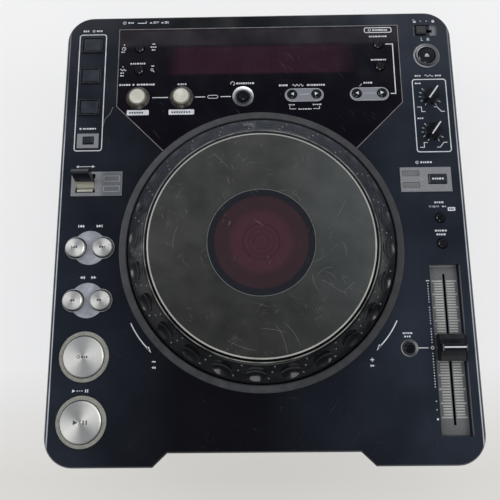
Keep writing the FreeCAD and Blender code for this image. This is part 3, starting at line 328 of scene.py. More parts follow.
def make_panel_gloss():
    made = Finish("panel_gloss", specular_ior_level=0.45)
    x, y = made.across()
    # Lighter, bluer patches of gloss towards the left and right sides.
    side_haze = made.either(made.step(x, 0, 120, 0.06, 1.0), made.step(x, -155, -60, 0.7, 0.06))
    haze = made.both(side_haze, made.step(made.noise(60.0, 2.0), 0.3, 0.7, 0.35, 0.75))
    base = made.mix(haze, colour(10, 9, 13), colour(44, 51, 62))
    lines = made.either(made.either(made.hairlines(18, 0.35, 0.01), made.hairlines(24, 2.2, 0.01)),
                        made.hairlines(14, 1.45, 0.02))
    base = made.mix(made.both(lines, 0.06), base, colour(120, 124, 132))
    dust = made.either(made.specks(3.1, 0.2, 0.2), made.both(made.specks(11, 0.42, 0.3), 0.8))
    base = made.mix(made.both(dust, 0.3), base, colour(170, 172, 175))
    # Painted highlight: a pale line along the left and right edges where the bevel meets the top,
    # fainter towards the rear.
    edge = made.band(made.maths("ABSOLUTE", x), *EDGE_HIGHLIGHT, 0.12)
    edge = made.both(edge, made.step(made.noise(20.0, 4.0), 0.3, 0.6, 0.6, 1.0))
    edge = made.both(edge, made.step(made.height(), DECK - 0.6, DECK - 0.3))
    base = made.mix(made.both(edge, made.step(y, 60, 120, 1.0, 0.35)), base,
                    colour(168, 172, 178))
    # Painted highlight on the upper part of two recess walls.
    for zone, level in RECESS_LIGHTS:
        low = made.step(made.height(), level - 0.15, level + 0.15)
        under = made.step(made.height(), DECK - 0.2, DECK - 0.05, 1, 0)
        base = made.mix(made.both(made.zone(*zone), made.both(low, under)), base,
                        colour(104, 106, 112))
    sheen = made.step(made.noise(30.0, 3.0), 0.3, 0.75, 0.08, 0.2)
    made.shade(base_color=base, roughness=sheen, normal=made.bump(made.noise(0.9, 2.0), 0.001))
    return made


panel_gloss = make_panel_gloss()
print("edge highlight_line", [round(x, 1) for x in EDGE_HIGHLIGHT], "pale walls", len(RECESS_LIGHTS))

# %% [markdown]
# ## The display window
#
# A sheet of smoked plastic lies flush in the panel. Behind it the display shows as a dark red
# field with a faint grid of segments, under a grey-brown strip. The rest is almost black, with
# a hint of violet. All of this belongs to the sheet, so the finish is painted by place.

# %% The smoked window
DISPLAY_FIELD = (-72, 72, 121, 146)
STRIP_REAR = 161.5
GRID_PITCH = 5.2


def make_smoked_window():
    made = Finish("smoked_window", specular_ior_level=0.5)
    x, y = made.across()
    x0, x1, y0, y1 = DISPLAY_FIELD
    edge = made.both(made.step(x, x0 - 5, x0 + 8), made.step(x, x1 - 8, x1 + 10, 1, 0))
    field = made.both(edge, made.band(y, y0, y1, 1.2))
    cell_x = made.maths("PINGPONG", x, GRID_PITCH / 2)
    cell_y = made.maths("PINGPONG", y, GRID_PITCH / 2)
    grid = made.either(made.step(cell_x, 0.15, 0.5, 1, 0), made.step(cell_y, 0.15, 0.5, 1, 0))
    red = made.mix(made.both(grid, 0.4), colour(42, 20, 31), colour(27, 12, 20))
    base = made.mix(made.noise(25.0, 2.0), colour(4, 2, 8), colour(11, 8, 16))
    base = made.mix(made.both(field, made.step(made.noise(50.0), 0.2, 0.7, 0.7, 1.0)), base, red)
    strip = made.both(made.band(y, y1 + 1, STRIP_REAR, 1.5), made.step(made.noise(40.0), 0.2, 0.6))
    base = made.mix(strip, base, colour(38, 34, 39))
    dust = made.either(made.specks(3.4, 0.2, 0.25), made.both(made.hairlines(16, 0.9), 0.4))
    base = made.mix(made.both(dust, 0.25), base, colour(160, 160, 165))
    made.shade(base_color=base, roughness=made.step(made.noise(18.0), 0.3, 0.7, 0.08, 0.17))
    return made


smoked_window = make_smoked_window()
print("display field", DISPLAY_FIELD)

# %% [markdown]
# ## The jog wheel
#
# The wheel is gloss black with specks of dust and a pale thin line on its rim. Its rear half is
# painted a lighter grey than its front, a painted reflection of the brighter light behind it.

# %% The wheel's gloss
WHEEL_RIM_LINE = (86.9, 87.6)


def make_wheel_gloss():
    made = Finish("wheel_gloss", specular_ior_level=0.42)
    reach = made.reach(JOG_X, JOG_Y)
    _, y = made.across()
    base = made.mix(made.noise(6.0, 3.0), colour(3, 3, 6), colour(9, 11, 15))
    # Painted reflection: the rear half lighter grey than the front.
    base = made.mix(made.step(y, -60, 60), base, colour(34, 38, 45))
    dust = made.either(made.specks(2.2, 0.18, 0.3), made.both(made.specks(6, 0.3, 0.3), 0.8))
    base = made.mix(made.both(dust, 0.35), base, colour(165, 170, 170))
    # A pale thin line on the rim, broken up by noise.
    rim_line = made.both(made.band(reach, *WHEEL_RIM_LINE, 0.12),
                     made.step(made.noise(14.0, 4.0), 0.35, 0.6, 0.2, 0.75))
    base = made.mix(rim_line, base, colour(150, 150, 143))
    made.shade(base_color=base, roughness=made.step(made.noise(7.0, 3.0), 0.3, 0.7, 0.1, 0.2),
               normal=made.bump(made.noise(0.7), 0.001))
    return made


wheel_gloss = make_wheel_gloss()
print("wheel worn from", WHEEL_RIM_LINE[0], "to", WHEEL_RIM_LINE[1])

# %% [markdown]
# ## The touch plate
#
# The touch plate is a sheet of olive-grey lacquered metal, covered in fine arcs where fingers and
# rings have turned on it, with a bare bright edge. The arcs are noise that reads distance and
# angle about the axis in place of x and y, and crossing hairlines lie over them. The longer curls
# are thin bands of circles. Each is given by its middle, its radius, the angle that it faces and
# half its length.

# %% The touch plate's lacquer
BARE_EDGE = (83.9, 85.0)
PLATE_CURLS = ((15, -95, 45, 20, 14), (22, -90, 30, 35, 12), (8, -88, 60, 80, 10),
               (45, -45, 12, 120, 8), (50, -48, 9, 60, 6), (38, -55, 15, 200, 8),
               (42, -38, 10, 300, 6), (62, -30, 14, 10, 7), (15, 15, 20, 100, 6),
               (28, 10, 8, 40, 5), (-65, -20, 25, 170, 10), (-15, -100, 50, 250, 12),
               (60, 0, 40, 330, 9), (-30, 40, 60, 45, 10), (55, -60, 18, 240, 8))


def make_touch_plate():
    made = Finish("touch_plate_lacquer", specular_ior_level=0.5)
    reach = made.reach(JOG_X, JOG_Y)
    x, y = made.across()
    base = made.mix(made.step(made.noise(38.0, 3.0), 0.3, 0.7), colour(37, 38, 37),
                    colour(47, 48, 46))
    base = made.mix(made.step(x, 10, 80, 0.0, 0.6), base, colour(72, 78, 79))
    base = made.mix(made.step(y, -110, 0, 0.7, 0.0), base, colour(22, 22, 21))
    curls = 0.0
    for mid_x, mid_y, radius, facing, half in PLATE_CURLS:
        line = made.reach(*turned(mid_x, mid_y, -radius, facing))
        near = made.step(made.reach(mid_x, mid_y), half * 0.6, half, 1, 0)
        curls = made.either(curls, made.both(made.band(line, radius - 0.1, radius + 0.1, 0.12),
                                             near))
    base = made.mix(made.both(curls, 0.3), base, colour(160, 162, 158))
    arcs = made.noise(1.0, 2.0, made.around(JOG_X, JOG_Y, 1.6, 2.2))
    arcs = made.both(made.step(arcs, 0.68, 0.73), made.step(made.noise(22.0), 0.5, 0.62))
    lines = made.either(made.hairlines(9, 1.2, 0.04, 0.12), made.hairlines(14, 0.3, 0.03, 0.12))
    lines = made.either(made.either(lines, made.hairlines(10, 2.4, 0.04, 0.12)), arcs)
    base = made.mix(made.both(lines, 0.2), base, colour(150, 152, 145))
    base = made.mix(made.both(made.specks(5.0, 0.2, 0.2), 0.4), base, colour(190, 188, 180))
    edge = made.both(made.band(reach, *BARE_EDGE, 0.1), made.step(y, -10, 50, 0.9, 0.55))
    base = made.mix(edge, base, colour(206, 205, 196))
    sheen = made.step(made.noise(16.0, 3.0), 0.3, 0.7, 0.34, 0.5)
    made.shade(base_color=base, metallic=made.both(edge, 0.7), roughness=sheen,
               normal=made.bump(made.either(made.noise(0.5), lines), 0.006))
    return made


touch_plate = make_touch_plate()
print("curls", len(PLATE_CURLS))

# %% [markdown]
# ## The window in the wheel
#
# A clear red disc covers a small round display that stands still under it. It has a dark rim, a
# brighter middle and three faint rings. The rings are bands of distance from the axis, so the
# disc looks the same at every turn of the wheel.

# %% The wheel's window
WINDOW_RINGS = ((12.9, 14.0), (9.3, 10.0), (5.4, 6.2))


def make_wheel_window():
    made = Finish("wheel_window_red", specular_ior_level=0.5)
    reach = made.reach(JOG_X, JOG_Y)
    base = made.mix(made.noise(20.0, 2.0), colour(46, 35, 38), colour(55, 40, 45))
    base = made.mix(made.step(reach, 20.5, 25.5, 0.8, 0.0), base, colour(66, 40, 48))
    rings = 0.0
    for inner, outer in WINDOW_RINGS:
        rings = made.either(made.band(reach, inner, outer, 0.4), rings)
    base = made.mix(made.both(rings, 0.35), base, colour(38, 20, 28))
    base = made.mix(made.step(reach, 33.9, 35.6), base, colour(31, 32, 37))
    base = made.mix(made.both(made.band(reach, 40.0, 40.8, 0.1), 0.8), base,
                    colour(112, 118, 118))
    lines = made.either(made.hairlines(10, 0.8), made.hairlines(8, 2.0))
    base = made.mix(made.both(lines, 0.25), base, colour(150, 140, 140))
    made.shade(base_color=base, roughness=made.step(made.noise(12.0), 0.3, 0.7, 0.1, 0.2))
    return made


wheel_window = make_wheel_window()
print("window rings", len(WINDOW_RINGS))

# %% [markdown]
# ## The ring round the wheel
#
# The fixed ring is matt grey with a coarse grain. It is paler at the rear left and darker on the
# right.

# %% The ring's grey
def make_bezel_grey():
    made = moulded("bezel_grey", (28, 29, 32), (52, 53, 57), (0.5, 0.65), 0.45, 0.03, 0.3)
    x, y = made.across()
    # Paler towards the rear left.
    paler_rear_left = made.both(made.step(x, -100, 0, 0.22, 0.0), made.step(y, -80, -30))
    base = made.mix(paler_rear_left, made.base, colour(78, 79, 85))
    base = made.mix(made.step(x, 20, 100, 0.0, 0.35), base, colour(20, 20, 24))
    made.shade(base_color=base)
    return made


bezel_grey = make_bezel_grey()
print("finishes so far", len(bpy.data.materials))

# %% [markdown]
# ## Metal caps and steel
#
# The play, cue and search caps are aluminium, turned on a lathe. Turning leaves fine grooves round
# the axis, and they stretch each highlight into two wedges. The shader does that itself with
# anisotropy about an upright tangent; the grooves' tone comes from noise that reads the distance
# from the cap's own axis. Two bright wedges are also painted into the base colour by the angle
# about the axis: a painted highlight, brightest along the direction given for each cap.

# %% Spun aluminium, one finish for each cap
SPUN_DARK, SPUN_LIGHT = (158, 159, 159), (243, 243, 238)


def spun(name, x, y, facing):
    """Aluminium turned about an upright axis, with a painted highlight brightest along one
    direction across it.
    """
    made = Finish(name, metallic=0.55, anisotropic=0.6, specular_ior_level=0.5)
    groove = made.noise(0.25, 2.0, made.around(x, y, 1.0, 0.6))
    # Painted highlight: two wedges in the base colour, brightest along facing and opposite it.
    turn = made.maths("SUBTRACT", made.bearing(x, y), math.radians(facing))
    painted_wedge = made.maths("COSINE", made.both(turn, 2.0))
    painted_wedge = made.step(made.maths("ADD", painted_wedge, made.both(groove, 0.5)), -0.7, 1.2)
    base = made.mix(painted_wedge, colour(*SPUN_DARK), colour(*SPUN_LIGHT))
    base = made.mix(made.both(made.step(groove, 0.5, 0.7), 0.25), base, colour(*SPUN_DARK))
    made.shade(base_color=base, roughness=made.step(groove, 0.3, 0.7, 0.3, 0.38),
               tangent=made.node("Tangent", {}, direction_type="RADIAL", axis="Z"))
    return made


def brushed_steel():
    made = Finish("brushed_steel", metallic=1.0, anisotropic=0.4)
    grain = made.noise(1.0, 2.0, made.point((0.08, 2.0, 2.0)))
    made.shade(base_color=made.mix(grain, colour(120, 121, 123), colour(184, 185, 186)),
               roughness=made.step(grain, 0.3, 0.7, 0.28, 0.42),
               normal=made.bump(grain, 0.004))
    return made


steel = brushed_steel()
# Each cap's number is the direction of its painted highlight, in degrees.
SPUN_CAPS = {"cue_button": 8, "play_button": 25, "track_search_back": 150,
             "track_search_forward": 30, "search_back": 160, "search_forward": 20}
spun_caps = {cap: spun(cap + "_aluminium", *middle_of(cap), facing)
             for cap, facing in SPUN_CAPS.items()}
print("spun caps", len(spun_caps))

# %% [markdown]
# ## Rings and grey plates
#
# Two nodes hold several small fixed pieces each: the rings round the buttons, and the grey plates
# round the lever, the square caps and the pitch slider. Each piece needs its own tone, so these
# two finishes choose it by place on the panel. A helper finds the pieces near a cap's axis, and
# the two cream caps use it first, for a grey rim round their cream middle.

# %% Pieces near an axis, and the cream caps
LOOP_CAPS = ("loop_in_button", "loop_out_button")


def near_any(made, caps, radius):
    """1 within a radius of any of the named caps' axes."""
    inside = 0.0
    for cap in caps:
        inside = made.either(made.step(made.reach(*middle_of(cap)), radius, radius + 0.2, 1, 0),
                             inside)
    return inside


def make_cream_cap():
    made = moulded("cream_cap", (168, 166, 155), (194, 194, 183), (0.3, 0.42), 0.3)
    # A grey rim round the cream middle of each cap.
    middle = near_any(made, LOOP_CAPS, 5.9)
    made.shade(base_color=made.mix(middle, colour(112, 108, 100), made.base))
    return made


cream_cap = make_cream_cap()
print("cream caps", len(LOOP_CAPS))

# %% [markdown]
# ## Rings round the buttons
#
# The two large caps stand in pale lens rings, the cream caps in warm turned rings and the black
# cap beside them in a bright one that darkens inwards. Two caps stand in dished black rings with a
# painted highlight along part of each lip: a lit arc is given by its cap, its inner and outer
# radius and the angle where it is brightest.

# %% The rings' tones
LIT_ARCS = (("eject_button", 9.6, 10.8, 220), ("eject_button", 7.7, 8.4, 150),
            ("tempo_reset_button", 5.7, 6.4, 200))


def make_ring_finish():
    made = Finish("button_ring_metals", specular_ior_level=0.5)
    tone = made.noise(3.0, 3.0)
    lens = near_any(made, ("cue_button", "play_button"), 19.5)
    warm = near_any(made, LOOP_CAPS, 10.5)
    bright = near_any(made, ("reloop_button",), 9.5)
    dished = near_any(made, ("tempo_reset_button", "eject_button"), 12.0)
    base = made.mix(tone, colour(17, 18, 22), colour(32, 33, 38))
    base = made.mix(lens, base, made.mix(tone, colour(112, 112, 106), colour(140, 139, 132)))
    base = made.mix(warm, base, made.mix(tone, colour(74, 70, 66), colour(128, 123, 115)))
    from_middle = made.reach(*middle_of("reloop_button"))
    shine = made.mix(made.step(from_middle, 5.4, 8.2), colour(34, 35, 38), colour(176, 178, 180))
    base = made.mix(bright, base, shine)
    base = made.mix(dished, base, made.mix(tone, colour(22, 24, 28), colour(40, 42, 47)))
    # Painted highlight: a pale arc on part of each dished lip.
    for cap, inner, outer, facing in LIT_ARCS:
        lit = made.reach(*turned(*middle_of(cap), outer, facing))
        line = made.both(made.band(made.reach(*middle_of(cap)), inner, outer, 0.12),
                         made.step(lit, outer * 0.6, outer * 1.4, 0.9, 0.15))
        base = made.mix(line, base, colour(140, 142, 146))
    metal = made.either(warm, bright)
    made.shade(base_color=base, metallic=made.both(metal, 0.9),
               roughness=made.step(tone, 0.3, 0.7, 0.22, 0.36),
               normal=made.bump(made.noise(0.4), 0.004))
    return made


ring_finish = make_ring_finish()
print("lit arcs", len(LIT_ARCS))

# %% [markdown]
# ## The grey plates
#
# The plates are moulded grey with a fine grain. The part of the lever's plate beside the lever is
# darker, the slider's ruled plate is darker still, and the two plates round the small pairs of
# buttons are bluish.

# %% The plates' tones
LEVER_SIDE, SLIDER_PLATE, PAIR_PLATES = ((-125.5, -109, 17, 38), (128, 152, -166, -38),
                                         (18, 110, 90, 112))


def make_plate_grey():
    made = Finish("plate_grey", specular_ior_level=0.5)
    fine, tone = made.noise(0.5, 3.0), made.noise(14.0, 3.0)
    base = made.mix(made.step(fine, 0.3, 0.7), colour(96, 98, 102), colour(122, 124, 128))
    lever = made.zone(*LEVER_SIDE, 2.0)
    base = made.mix(made.both(lever, 0.8), base, colour(66, 69, 74))
    fader = made.zone(*SLIDER_PLATE)
    base = made.mix(fader, base, made.mix(fine, colour(72, 73, 74), colour(90, 91, 92)))
    pairs = made.zone(*PAIR_PLATES)
    base = made.mix(pairs, base, made.mix(fine, colour(98, 101, 108), colour(116, 119, 126)))
    base = made.mix(made.both(made.hairlines(6, 0.7, 0.08), 0.4), base, colour(170, 170, 170))
    made.shade(base_color=base, roughness=made.step(tone, 0.3, 0.7, 0.4, 0.55),
               normal=made.bump(fine, 0.008))
    return made


plate_grey = make_plate_grey()
print("finishes so far", len(bpy.data.materials))

# %% [markdown]
# ## Boards and the inside
#
# The boards, the drive and the supply sit inside the closed case. They still get real
# finishes: green solder mask with a net of tracks, drawn from the cells of a Voronoi texture.

# %% Circuit boards
def make_board_green():
    made = Finish("board_green", specular_ior_level=0.5)
    cells = made.node("TexVoronoi", {"Vector": made.point(), "Scale": 0.25},
                      feature="DISTANCE_TO_EDGE")
    tracks = made.step(cells, 0.04, 0.07, 1, 0)
    base = made.mix(made.noise(8.0), colour(16, 66, 40), colour(24, 84, 52))
    base = made.mix(made.both(tracks, 0.6), base, colour(60, 128, 84))
    made.shade(base_color=base, roughness=made.step(made.noise(4.0), 0.3, 0.7, 0.3, 0.45),
               normal=made.bump(tracks, 0.03))
    return made


board_green = make_board_green()
print("all finishes", len(bpy.data.materials))

# %% [markdown]
# ## Dress the solids
#
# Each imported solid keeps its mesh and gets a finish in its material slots. Nodes that are not
# named in the table are small black caps with a deep gloss.

# %% Dress the solids
NODE_FINISHES = {
    "top_panel": panel_gloss, "display_window": smoked_window, "jog_bezel": bezel_grey,
    "jog_wheel": wheel_gloss, "jog_plate": touch_plate, "jog_window": wheel_window,
    "jog_display": gloss_black, "main_display": gloss_black, "accent_plates": plate_grey,
    "button_rings": ring_finish, "lower_case": case_paint, "front_panel": case_paint,
    "rear_panel": case_paint, "feet": foot_rubber, "case_screws": steel, "jog_base": satin_black,
    "jog_bearing": steel, "button_boards": board_green, "main_board": board_green,
    "power_supply": board_green, "ac_inlet": satin_black, "drive_chassis": steel,
    "spindle_motor": steel, "feed_roller": foot_rubber, "loading_gear": gear_plastic,
    "turntable": satin_black, "pickup_sled": satin_black, "direction_lever": lever_gloss,
    "touch_speed_knob": control_gloss, "release_speed_knob": control_gloss,
    "tempo_slider": control_gloss, "lock_slide": satin_black, "power_button": satin_black,
    "hot_cue_1": pad_gloss, "hot_cue_2": pad_gloss, "hot_cue_3": pad_gloss,
    "rec_mode_button": pad_gloss, "jog_mode_button": pad_gloss,
    "loop_in_button": cream_cap, "loop_out_button": cream_cap, "rear_jacks": steel,
    **spun_caps,
}


def dress(node, finish):
    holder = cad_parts[node]
    if not holder.material_slots:
        holder.data.materials.append(finish.material)
    for material_slot in holder.material_slots:
        material_slot.material = finish.material


for node_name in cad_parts:
    dress(node_name, NODE_FINISHES.get(node_name, gloss_black))
print("dressed", len(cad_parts), "nodes")

# %% [markdown]
# ## Flat outlines
#
# Printed marks are thin plates of ink: an outline, perhaps with holes, most of them a twentieth
# of a millimetre thick. The helpers below make outlines in millimetres: strokes of an even width
# along a line, rounded boxes, rings, and triangles.

# %% Outline helpers
def arc(x, y, radius, start, end, steps=24):
    return [turned(x, y, radius, start + (end - start) * i / steps) for i in range(steps + 1)]


def disc(x, y, radius, steps=40):
    return [turned(x, y, radius, 360 * i / steps) for i in range(steps)]


def box(x0, x1, y0, y1, corner=0.0):
    """A box, with round corners where corner is more than nothing."""
    if not corner:
        return [(x0, y0), (x1, y0), (x1, y1), (x0, y1)]
    points = []
    for x, y, start in ((x1 - corner, y1 - corner, 0), (x0 + corner, y1 - corner, 90),
                        (x0 + corner, y0 + corner, 180), (x1 - corner, y0 + corner, 270)):
        points += arc(x, y, corner, start, start + 90, 6)
    return points


def stadium(x0, x1, y, radius):
    return arc(x1, y, radius, -90, 90, 14) + arc(x0, y, radius, 90, 270, 14)


def triangle(x, y, length, half, angle=0.0):
    """A triangle that points along an angle, with its middle at x, y."""
    corners = []
    for along, aside in ((length / 2, 0), (-length / 2, half), (-length / 2, -half)):
        tip_x, tip_y = turned(x, y, along, angle)
        corners.append(turned(tip_x, tip_y, aside, angle + 90))
    return corners


def sides(points, offset, closed):
    """The line moved sideways by an offset, with mitred corners."""
    count, moved = len(points), []
    for i in range(count):
        here = Vector(points[i])
        before = Vector(points[i - 1]) if closed or i else None
        after = Vector(points[(i + 1) % count]) if closed or i < count - 1 else None
        normals = [Vector((b.y - a.y, a.x - b.x)).normalized()
                   for a, b in ((before, here), (here, after)) if a is not None and b is not None]
        mitre = sum(normals, Vector((0, 0))).normalized()
        moved.append(tuple(here + mitre * offset / max(0.4, mitre.dot(normals[0]))))
    return moved


def stroke(points, width, closed=False):
    """Loops of a stroke of an even width along a line."""
    left, right = sides(points, width / 2, closed), sides(points, -width / 2, closed)
    return [left, right] if closed else [left + right[::-1]]


def ring(x, y, outer, inner, steps=40):
    return [disc(x, y, outer, steps), disc(x, y, inner, steps)]


print("outline helpers ready")

# %% [markdown]
# ## Plates from outlines
#
# A gatherer collects many small plates and turns them into one mesh, closed on all sides, that
# rides on one body. The top and bottom are filled with triangles by Blender's own tessellation,
# which leaves holes open.

# %% Plates from outlines
class Plates:
    """Collects flat plates between two heights and makes one piece of them."""

    def __init__(self):
        self.corners, self.faces = [], []

    def add(self, loops, low, high):
        flat = [[Vector((x, y, 0)) for x, y in loop] for loop in loops]
        points = [point for loop in flat for point in loop]
        start, count = len(self.corners), len(points)
        for height in (low, high):
            self.corners += [(p.x * MM, p.y * MM, height * MM) for p in points]
        for a, b, c in tessellate_polygon(flat):
            self.faces.append((start + a, start + b, start + c))
            self.faces.append((start + count + c, start + count + b, start + count + a))
        first = start
        for loop in flat:
            for i in range(len(loop)):
                j = (i + 1) % len(loop)
                self.faces.append((first + i, first + j, first + count + j, first + count + i))
            first += len(loop)

    def make(self, name, finish, body):
        mesh = bpy.data.meshes.new(name)
        mesh.from_pydata(self.corners, [], self.faces)
        shape = bmesh.new()
        shape.from_mesh(mesh)
        bmesh.ops.recalc_face_normals(shape, faces=shape.faces)
        shape.to_mesh(mesh)
        shape.free()
        mesh.materials.append(finish.material)
        piece = new_object(name, mesh)
        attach(piece, body)
        print(name, "faces", len(mesh.polygons))
        return piece


def print_marks(name, marks, level, finish, body, thick=INK):
    """Makes one piece from a list of marks; each mark is a list of loops."""
    sheet = Plates()
    for loops in marks:
        sheet.add(loops, level, level + thick)
    return sheet.make(name, finish, body)


# %% [markdown]
# ## Frames and lines on the panel
#
# White frames tie groups of controls together: the three pads and the record button on the
# left, the two speed knobs on the right. Lines lead from one control to the next, and two arrows
# beside the wheel say which way it turns.

# %% Frames and lines
FRAME_LINE = 0.75
THIN_LINE = 0.7


def frame_mark(x0, x1, y0, y1, corner=2.5, line=FRAME_LINE):
    """A printed frame with the given outer edges."""
    half = line / 2
    return stroke(box(x0 + half, x1 - half, y0 + half, y1 - half, corner - half), line, True)


def turn_arrow(points, tip_angle):
    """A thin curved line with a slim arrow head at its end."""
    x, y = points[-1]
    return [stroke(points, 0.8), [triangle(x, y, 5.0, 1.1, tip_angle)]]


def bowed(x0, y0, x1, y1, bow, steps=10):
    """Points from one place to another along a shallow bow."""
    line = Vector((x1 - x0, y1 - y0))
    aside = Vector((-line.y, line.x)).normalized() * bow
    points = []
    for t in (i / steps for i in range(steps + 1)):
        rise = 4 * t * (1 - t)
        points.append((x0 + line.x * t + aside.x * rise, y0 + line.y * t + aside.y * rise))
    return points


panel_lines = [
    frame_mark(-149.9, -127.0, 55.2, 158.7),
    frame_mark(125.2, 153.05, 50.3, 113.5),
    stroke([(115.4, -102.3), (123, -102.3)], THIN_LINE),
    ring(126, -102.3, 1.3, 0.75, 20),
    *turn_arrow(bowed(-99, -82, -84.5, -102, -1.2), -56),
    *turn_arrow(bowed(101, -82, 86, -102, 1.2), 236),
    stroke([(-82.4, -110.5), (-79.6, -110.5)], THIN_LINE),
    stroke([(79.6, -110.5), (82.4, -110.5)], THIN_LINE),
    stroke([(81, -109.8), (81, -109.1)], THIN_LINE),
    stroke([(81, -111.9), (81, -111.2)], THIN_LINE),
]
print_marks("panel_lines", panel_lines, DECK, white_ink, "case")

# %% [markdown]
# ## Lines on the display window
#
# Short lines join the loop buttons, a bracket joins four of the small buttons, and two light tabs
# under the loop buttons have small boxes cut out of them.

# %% Lines on the display window
def holes(x0, x1, y, width=1.3, gap=0.7):
    """A row of small boxes to cut out of a light tab, from x0 to x1."""
    count = int((x1 - x0) / (width + gap))
    return [box(x0 + i * (width + gap), x0 + i * (width + gap) + width, y - 0.7, y + 0.7)
            for i in range(count)]


LOOP_Y = 100.7
LOOP_LINKS = ((-87.5, -74.5), (-52.5, -44), (-31.5, -23))
window_lines = [
    *(stroke([(x0, LOOP_Y), (x1, LOOP_Y)], THIN_LINE) for x0, x1 in LOOP_LINKS),
    stroke([(105.5, 145.5), (111.5, 145.5), (111.5, 101.2), (107.5, 101.2)], 0.8),
    stroke([(25, 91.2), (25, 89), (30, 89)], 0.45),
    stroke([(44, 89), (49, 89), (49, 91.2)], 0.45),
    frame_mark(88.5, 111.5, 156, 161, 1.6, 0.7),
    [box(-108, -90, 85.5, 90, 0.8), *holes(-106, -92.5, 87.7)],
    [box(-73.8, -53, 85.5, 90, 0.8), *holes(-71.5, -55.5, 87.7)],
]
print_marks("window_lines", window_lines, DECK, white_ink, "case")

# %% [markdown]
# ## The window's edge
#
# A thin light line runs round the smoked sheet where it meets the panel, and down its two
# slanted edges to the ring round the wheel.

# %% The window's edge line
WINDOW_HALF, WINDOW_REAR, WINDOW_FRONT = 116.5, 162.7, 93.4
SLANT_END = (77.5, 54.6)


def window_edge(side):
    """Half of the line round the window, from the middle of its rear edge to the bezel."""
    return [(0, WINDOW_REAR), (side * WINDOW_HALF, WINDOW_REAR),
            (side * WINDOW_HALF, WINDOW_FRONT),
            (side * SLANT_END[0], SLANT_END[1])]


edge_ink = moulded("edge_ink", (88, 84, 84), (122, 116, 114), (0.35, 0.5), 0.6, 0.003)
print_marks("window_edge", [stroke(window_edge(side), 0.55) for side in (-1, 1)], DECK,
            edge_ink, "case")

# %% [markdown]
# ## Small symbols
#
# Plain symbols say what each control does: arrows, bars, rings, a clock, a wave, and rows of
# small blocks. Each function gives the loops of one symbol about a centre.

# %% Symbol helpers
def rewind(x, y, size=1.5, way=-1, bar=False):
    """Two triangles one after the other, with a bar at the end for a skip."""
    angle = 180 if way < 0 else 0
    marks = [[triangle(x + step * size, y, size * 1.05, size * 0.62, angle)]
             for step in (-0.5, 0.5)]
    if bar:
        end = x + way * size * 1.25
        marks.append([box(end - 0.15 * size, end + 0.15 * size, y - size * 0.6, y + size * 0.6)])
    return marks


def dashes(x0, x1, y, height=1.5, pattern=(1.5, 0.9, 1.2, 1.8)):
    """A row of small blocks of uneven widths, from x0 to x1 at most."""
    marks, x, i = [], x0, 0
    while x + pattern[i % len(pattern)] <= x1:
        width = pattern[i % len(pattern)]
        marks.append([box(x, x + width, y - height / 2, y + height / 2, 0.3)])
        x += width + 0.55
        i += 1
    return marks


def wave(x, y, width, height, turns=3):
    points = [(x - width / 2 + width * i / 24,
               y + height / 2 * math.sin(2 * math.pi * turns * i / 24)) for i in range(25)]
    return [stroke(points, 0.45)]


def clock(x, y, size=1.7):
    return [ring(x, y, size, size - 0.4, 20), stroke([(x, y + size * 0.6), (x, y),
                                                       (x + size * 0.5, y)], 0.35)]


def loop_arrow(x, y, size=1.6):
    tip_x, tip_y = turned(x, y, size, -60)
    return [stroke(arc(x, y, size, 210, -60, 14), 0.45),
            [triangle(tip_x, tip_y, 1.3, 0.7, -150)]]


print("symbol helpers ready")

# %% [markdown]
# ## Letters and digits for the switch and the pitch range
#
# The power switch is marked ON and OFF and the pitch range has plain numbers. They are drawn
# with strokes on a grid four wide and six high.

# %% Stroke letters
GLYPHS = {
    "0": [[(0, 0), (4, 0), (4, 6), (0, 6), (0, 0)]],
    "1": [[(2, 0), (2, 6), (0.8, 5)]],
    "6": [[(4, 6), (0, 6), (0, 0), (4, 0), (4, 3.2), (0, 3.2)]],
    "O": [[(0, 0), (4, 0), (4, 6), (0, 6), (0, 0)]],
    "F": [[(0, 0), (0, 6), (4, 6)], [(0, 3.2), (3.4, 3.2)]],
    "N": [[(0, 0), (0, 6), (4, 0), (4, 6)]],
    "/": [[(0, 0), (3, 6)]],
}


def write(text, x, y, height, weight=0.35):
    """Strokes of a short text whose left end is at x, centred on y."""
    unit, marks = height / 6, []
    for letter in text:
        for line in GLYPHS.get(letter, []):
            marks.append(stroke([(x + px * unit, y + (py - 3) * unit) for px, py in line], weight))
        x += 6 * unit
    return marks


print("stroke letters", "".join(GLYPHS))

# %% [markdown]
# ## Symbols on the panel
#
# Each group of controls has its symbols just above or below it, printed straight on the gloss.
# The left side, the power switch and the right side have a function each.

# %% Symbols on the panel
def padlock(x, y, shut):
    lift = 0.0 if shut else 0.5
    return [[box(x - 1.1, x + 1.1, y - 1.2, y + 0.3, 0.2)],
            stroke(arc(x - (0.0 if shut else 0.8), y + 0.3 + lift, 0.75, 0, 180, 10), 0.35)]


def label_marks():
    marks = []
    marks += dashes(-147, -141, 161.8) + [ring(-138.2, 161.8, 1.1, 0.6, 16)]
    marks += dashes(-135.8, -129.6, 161.8)
    marks += [[disc(-145.2, 74.4, 0.9, 16)]] + dashes(-143.2, -131.5, 74.4, 1.3)
    marks += [[triangle(-146, 42.2, 2.2, 1.1, 180)], stroke([(-144.9, 42.2), (-134, 42.2)], 0.5),
              [triangle(-133, 42.2, 2.2, 1.1, 0)]]
    marks += rewind(-140, -6.6, 1.9, -1, True) + rewind(-126.4, -6.6, 1.9, 1, True)
    marks += rewind(-137.4, -47, 1.9, -1) + rewind(-128.6, -47, 1.9, 1)
    marks += [[triangle(-139.6, -131, 2.2, 1.2, 0)], [box(-131.2, -130.4, -132.1, -129.9)],
              [box(-129.7, -128.9, -132.1, -129.9)]]
    marks += dashes(-137.6, -132.4, -131, 0.5)
    marks += rewind(-81, -114.8, 1.5, -1) + rewind(81, -114.8, 1.5, 1)
    return marks


